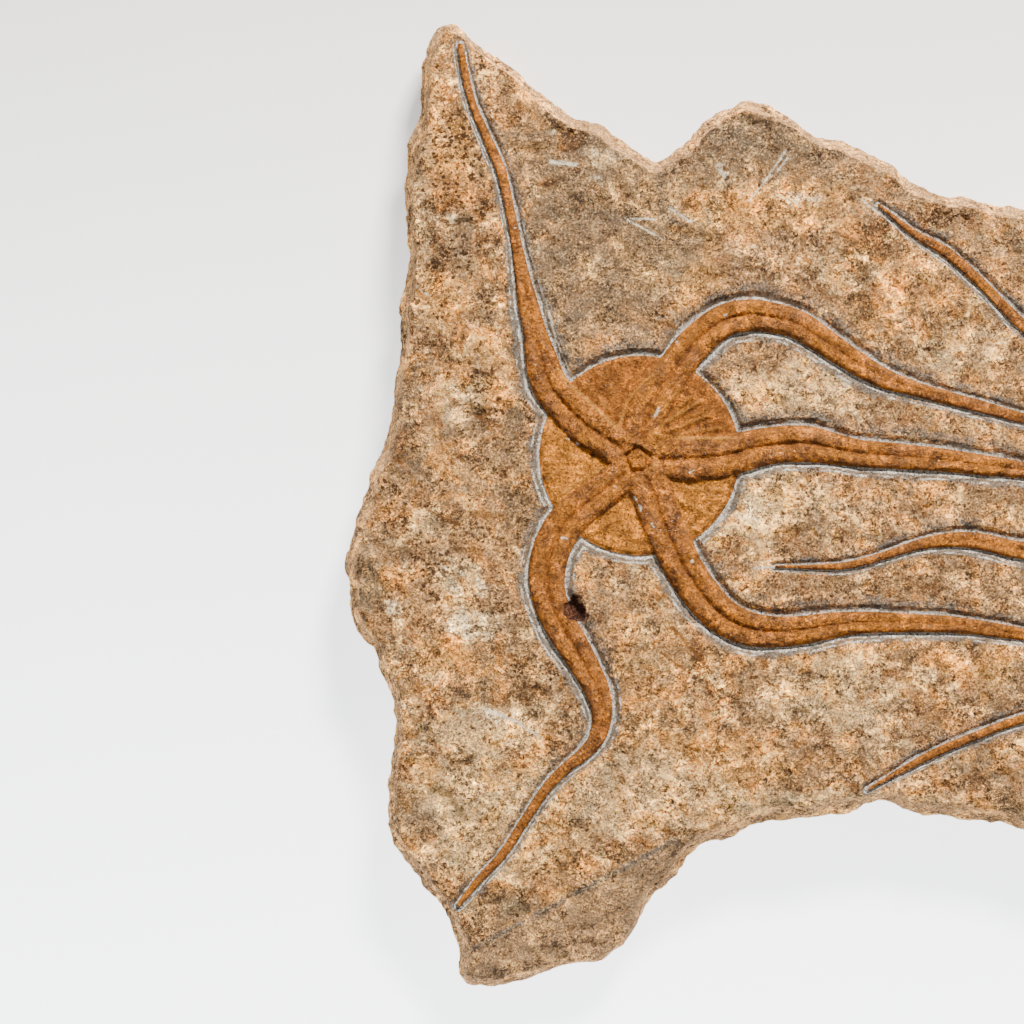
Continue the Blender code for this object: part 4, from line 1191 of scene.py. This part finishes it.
def make_star(name, centre, mouth, routes, voxel):
    """A star: its swept arms and its disc joined, cut flat below and given its relief."""
    bpy.ops.object.select_all(action="DESELECT")
    place = (centre[0] * MM, centre[1] * MM, 0)
    bpy.ops.mesh.primitive_cylinder_add(vertices=96, radius=DISC_RADIUS * MM, depth=4 * MM, location=place)
    star = bpy.context.object
    star.name = name
    star.data.name = name
    bpy.ops.object.transform_apply(location=True, rotation=True, scale=True)
    arms = [swept_arm(f"{name}_arm", route) for route in routes]
    work_on(star)
    for arm in arms:
        arm.select_set(True)
    bpy.ops.object.join()
    voxel_remesh(star, voxel)
    cut_flat(star, STAR_CUT)
    shape_star(star.data, centre, mouth, routes)
    return star


def shape_star(mesh, centre, mouth, routes):
    """Puts the star's vertices on its relief, down in its trench, and stores what its finish reads."""
    places = vertex_places(mesh)
    xy = places[:, :2]
    height, width, fields = star_relief(xy, centre, mouth, routes)
    floor = surface_height(xy) - trench_depth(width)
    bitten = smooth_step(0.2, -0.8, pit_distance(xy))
    height = height * (1 - 0.85 * bitten)
    below = places[:, 2] < -0.2
    places[:, 2] = np.where(below, POCKET_FLOOR + 0.1, floor + np.maximum(height, 0.4))
    place_vertices(mesh, places)
    # The crests, and more faintly the skin's folds, carry a painted highlight.
    fields["crest_highlight"] = crest_lines(xy) + 0.6 * fold_lines(xy, FOLDS)
    fields["pit"] = bitten
    for name, values in fields.items():
        add_attribute(mesh, name, np.clip(values, 0, 1.2))


# ---- the scene ----


def dress(piece, material):
    """Gives a piece its finish and smooth shading."""
    piece.data.materials.clear()
    piece.data.materials.append(material)
    work_on(piece)
    bpy.ops.object.shade_smooth_by_angle(angle=math.radians(SMOOTH_ANGLE))


FLOOR_SIZE = 6.0  # metres
# Area lights: name, place, target and size, in metres, and power in watts.
LIGHTS = [
    ("overhead_softbox", (0.30, 1.25, 1.05), (-0.12, 0.0, 0.0), (0.45, 0.3), 108),
    ("front_fill", (-0.5, -1.0, 1.6), (-0.1, 0.0, 0.0), (1.4, 1.0), 7),
]
WARM_LIGHT = (1.0, 0.92, 0.82)
SKY_LIGHT = (0.96, 0.98, 1.0, 1)
SKY_STRENGTH = 0.35


def add_floor():
    """The pale sheet that the slab lies on."""
    bpy.ops.object.select_all(action="DESELECT")
    bpy.ops.mesh.primitive_plane_add(size=FLOOR_SIZE, location=(0, 0, 0))
    floor = bpy.context.object
    floor.name = "floor"
    floor.data.materials.append(floor_finish())
    return floor


def add_area_light(name, place, target, size, power):
    """A warm rectangular light at its place, turned to its target."""
    light = bpy.data.lights.new(name, "AREA")
    light.color = WARM_LIGHT
    light.shape = "RECTANGLE"
    light.size, light.size_y = size
    light.energy = power
    holder = bpy.data.objects.new(name, light)
    bpy.context.scene.collection.objects.link(holder)
    holder.location = place
    aim = Vector(target) - Vector(place)
    holder.rotation_mode = "QUATERNION"
    holder.rotation_quaternion = aim.to_track_quat("-Z", "Y")


def add_camera():
    """A long lens nearly straight above the main star."""
    camera = bpy.data.cameras.new("camera")
    camera.sensor_width = 36.0
    camera.lens = camera.sensor_width * VIEW_DISTANCE / VIEW_WIDTH
    camera.clip_start, camera.clip_end = 0.05, 50.0
    holder = bpy.data.objects.new("camera", camera)
    bpy.context.scene.collection.objects.link(holder)
    tilt = math.radians(VIEW_TILT)
    target = Vector(VIEW_CENTRE) * MM
    holder.location = target + Vector((0, -math.sin(tilt), math.cos(tilt))) * VIEW_DISTANCE * MM
    holder.rotation_euler = (tilt, 0, 0)
    bpy.context.scene.camera = holder


def add_lights():
    """The area lights and an even, faint light from all round."""
    for light in LIGHTS:
        add_area_light(*light)
    world = bpy.data.worlds.new("studio")
    world.use_nodes = True
    background = world.node_tree.nodes["Background"]
    background.inputs["Color"].default_value = SKY_LIGHT
    background.inputs["Strength"].default_value = SKY_STRENGTH
    bpy.context.scene.world = world


add_camera()
add_lights()
add_floor()

rock = rock_finish()
fossil = fossil_finish()

slab = make_slab()
dress(slab, rock)
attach(slab, "root")
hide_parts("matrix_slab")

main_star = make_star("main_star", MAIN_CENTRE, MAIN_MOUTH, MAIN_ROUTES, STAR_VOXEL)
dress(main_star, fossil)
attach(main_star, "root")
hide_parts("brittle_star")

other_star = make_star("other_star", SECOND_CENTRE, SECOND_CENTRE, SECOND_ROUTES, SECOND_STAR_VOXEL)
dress(other_star, fossil)
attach(other_star, "root")
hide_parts("second_brittle_star")
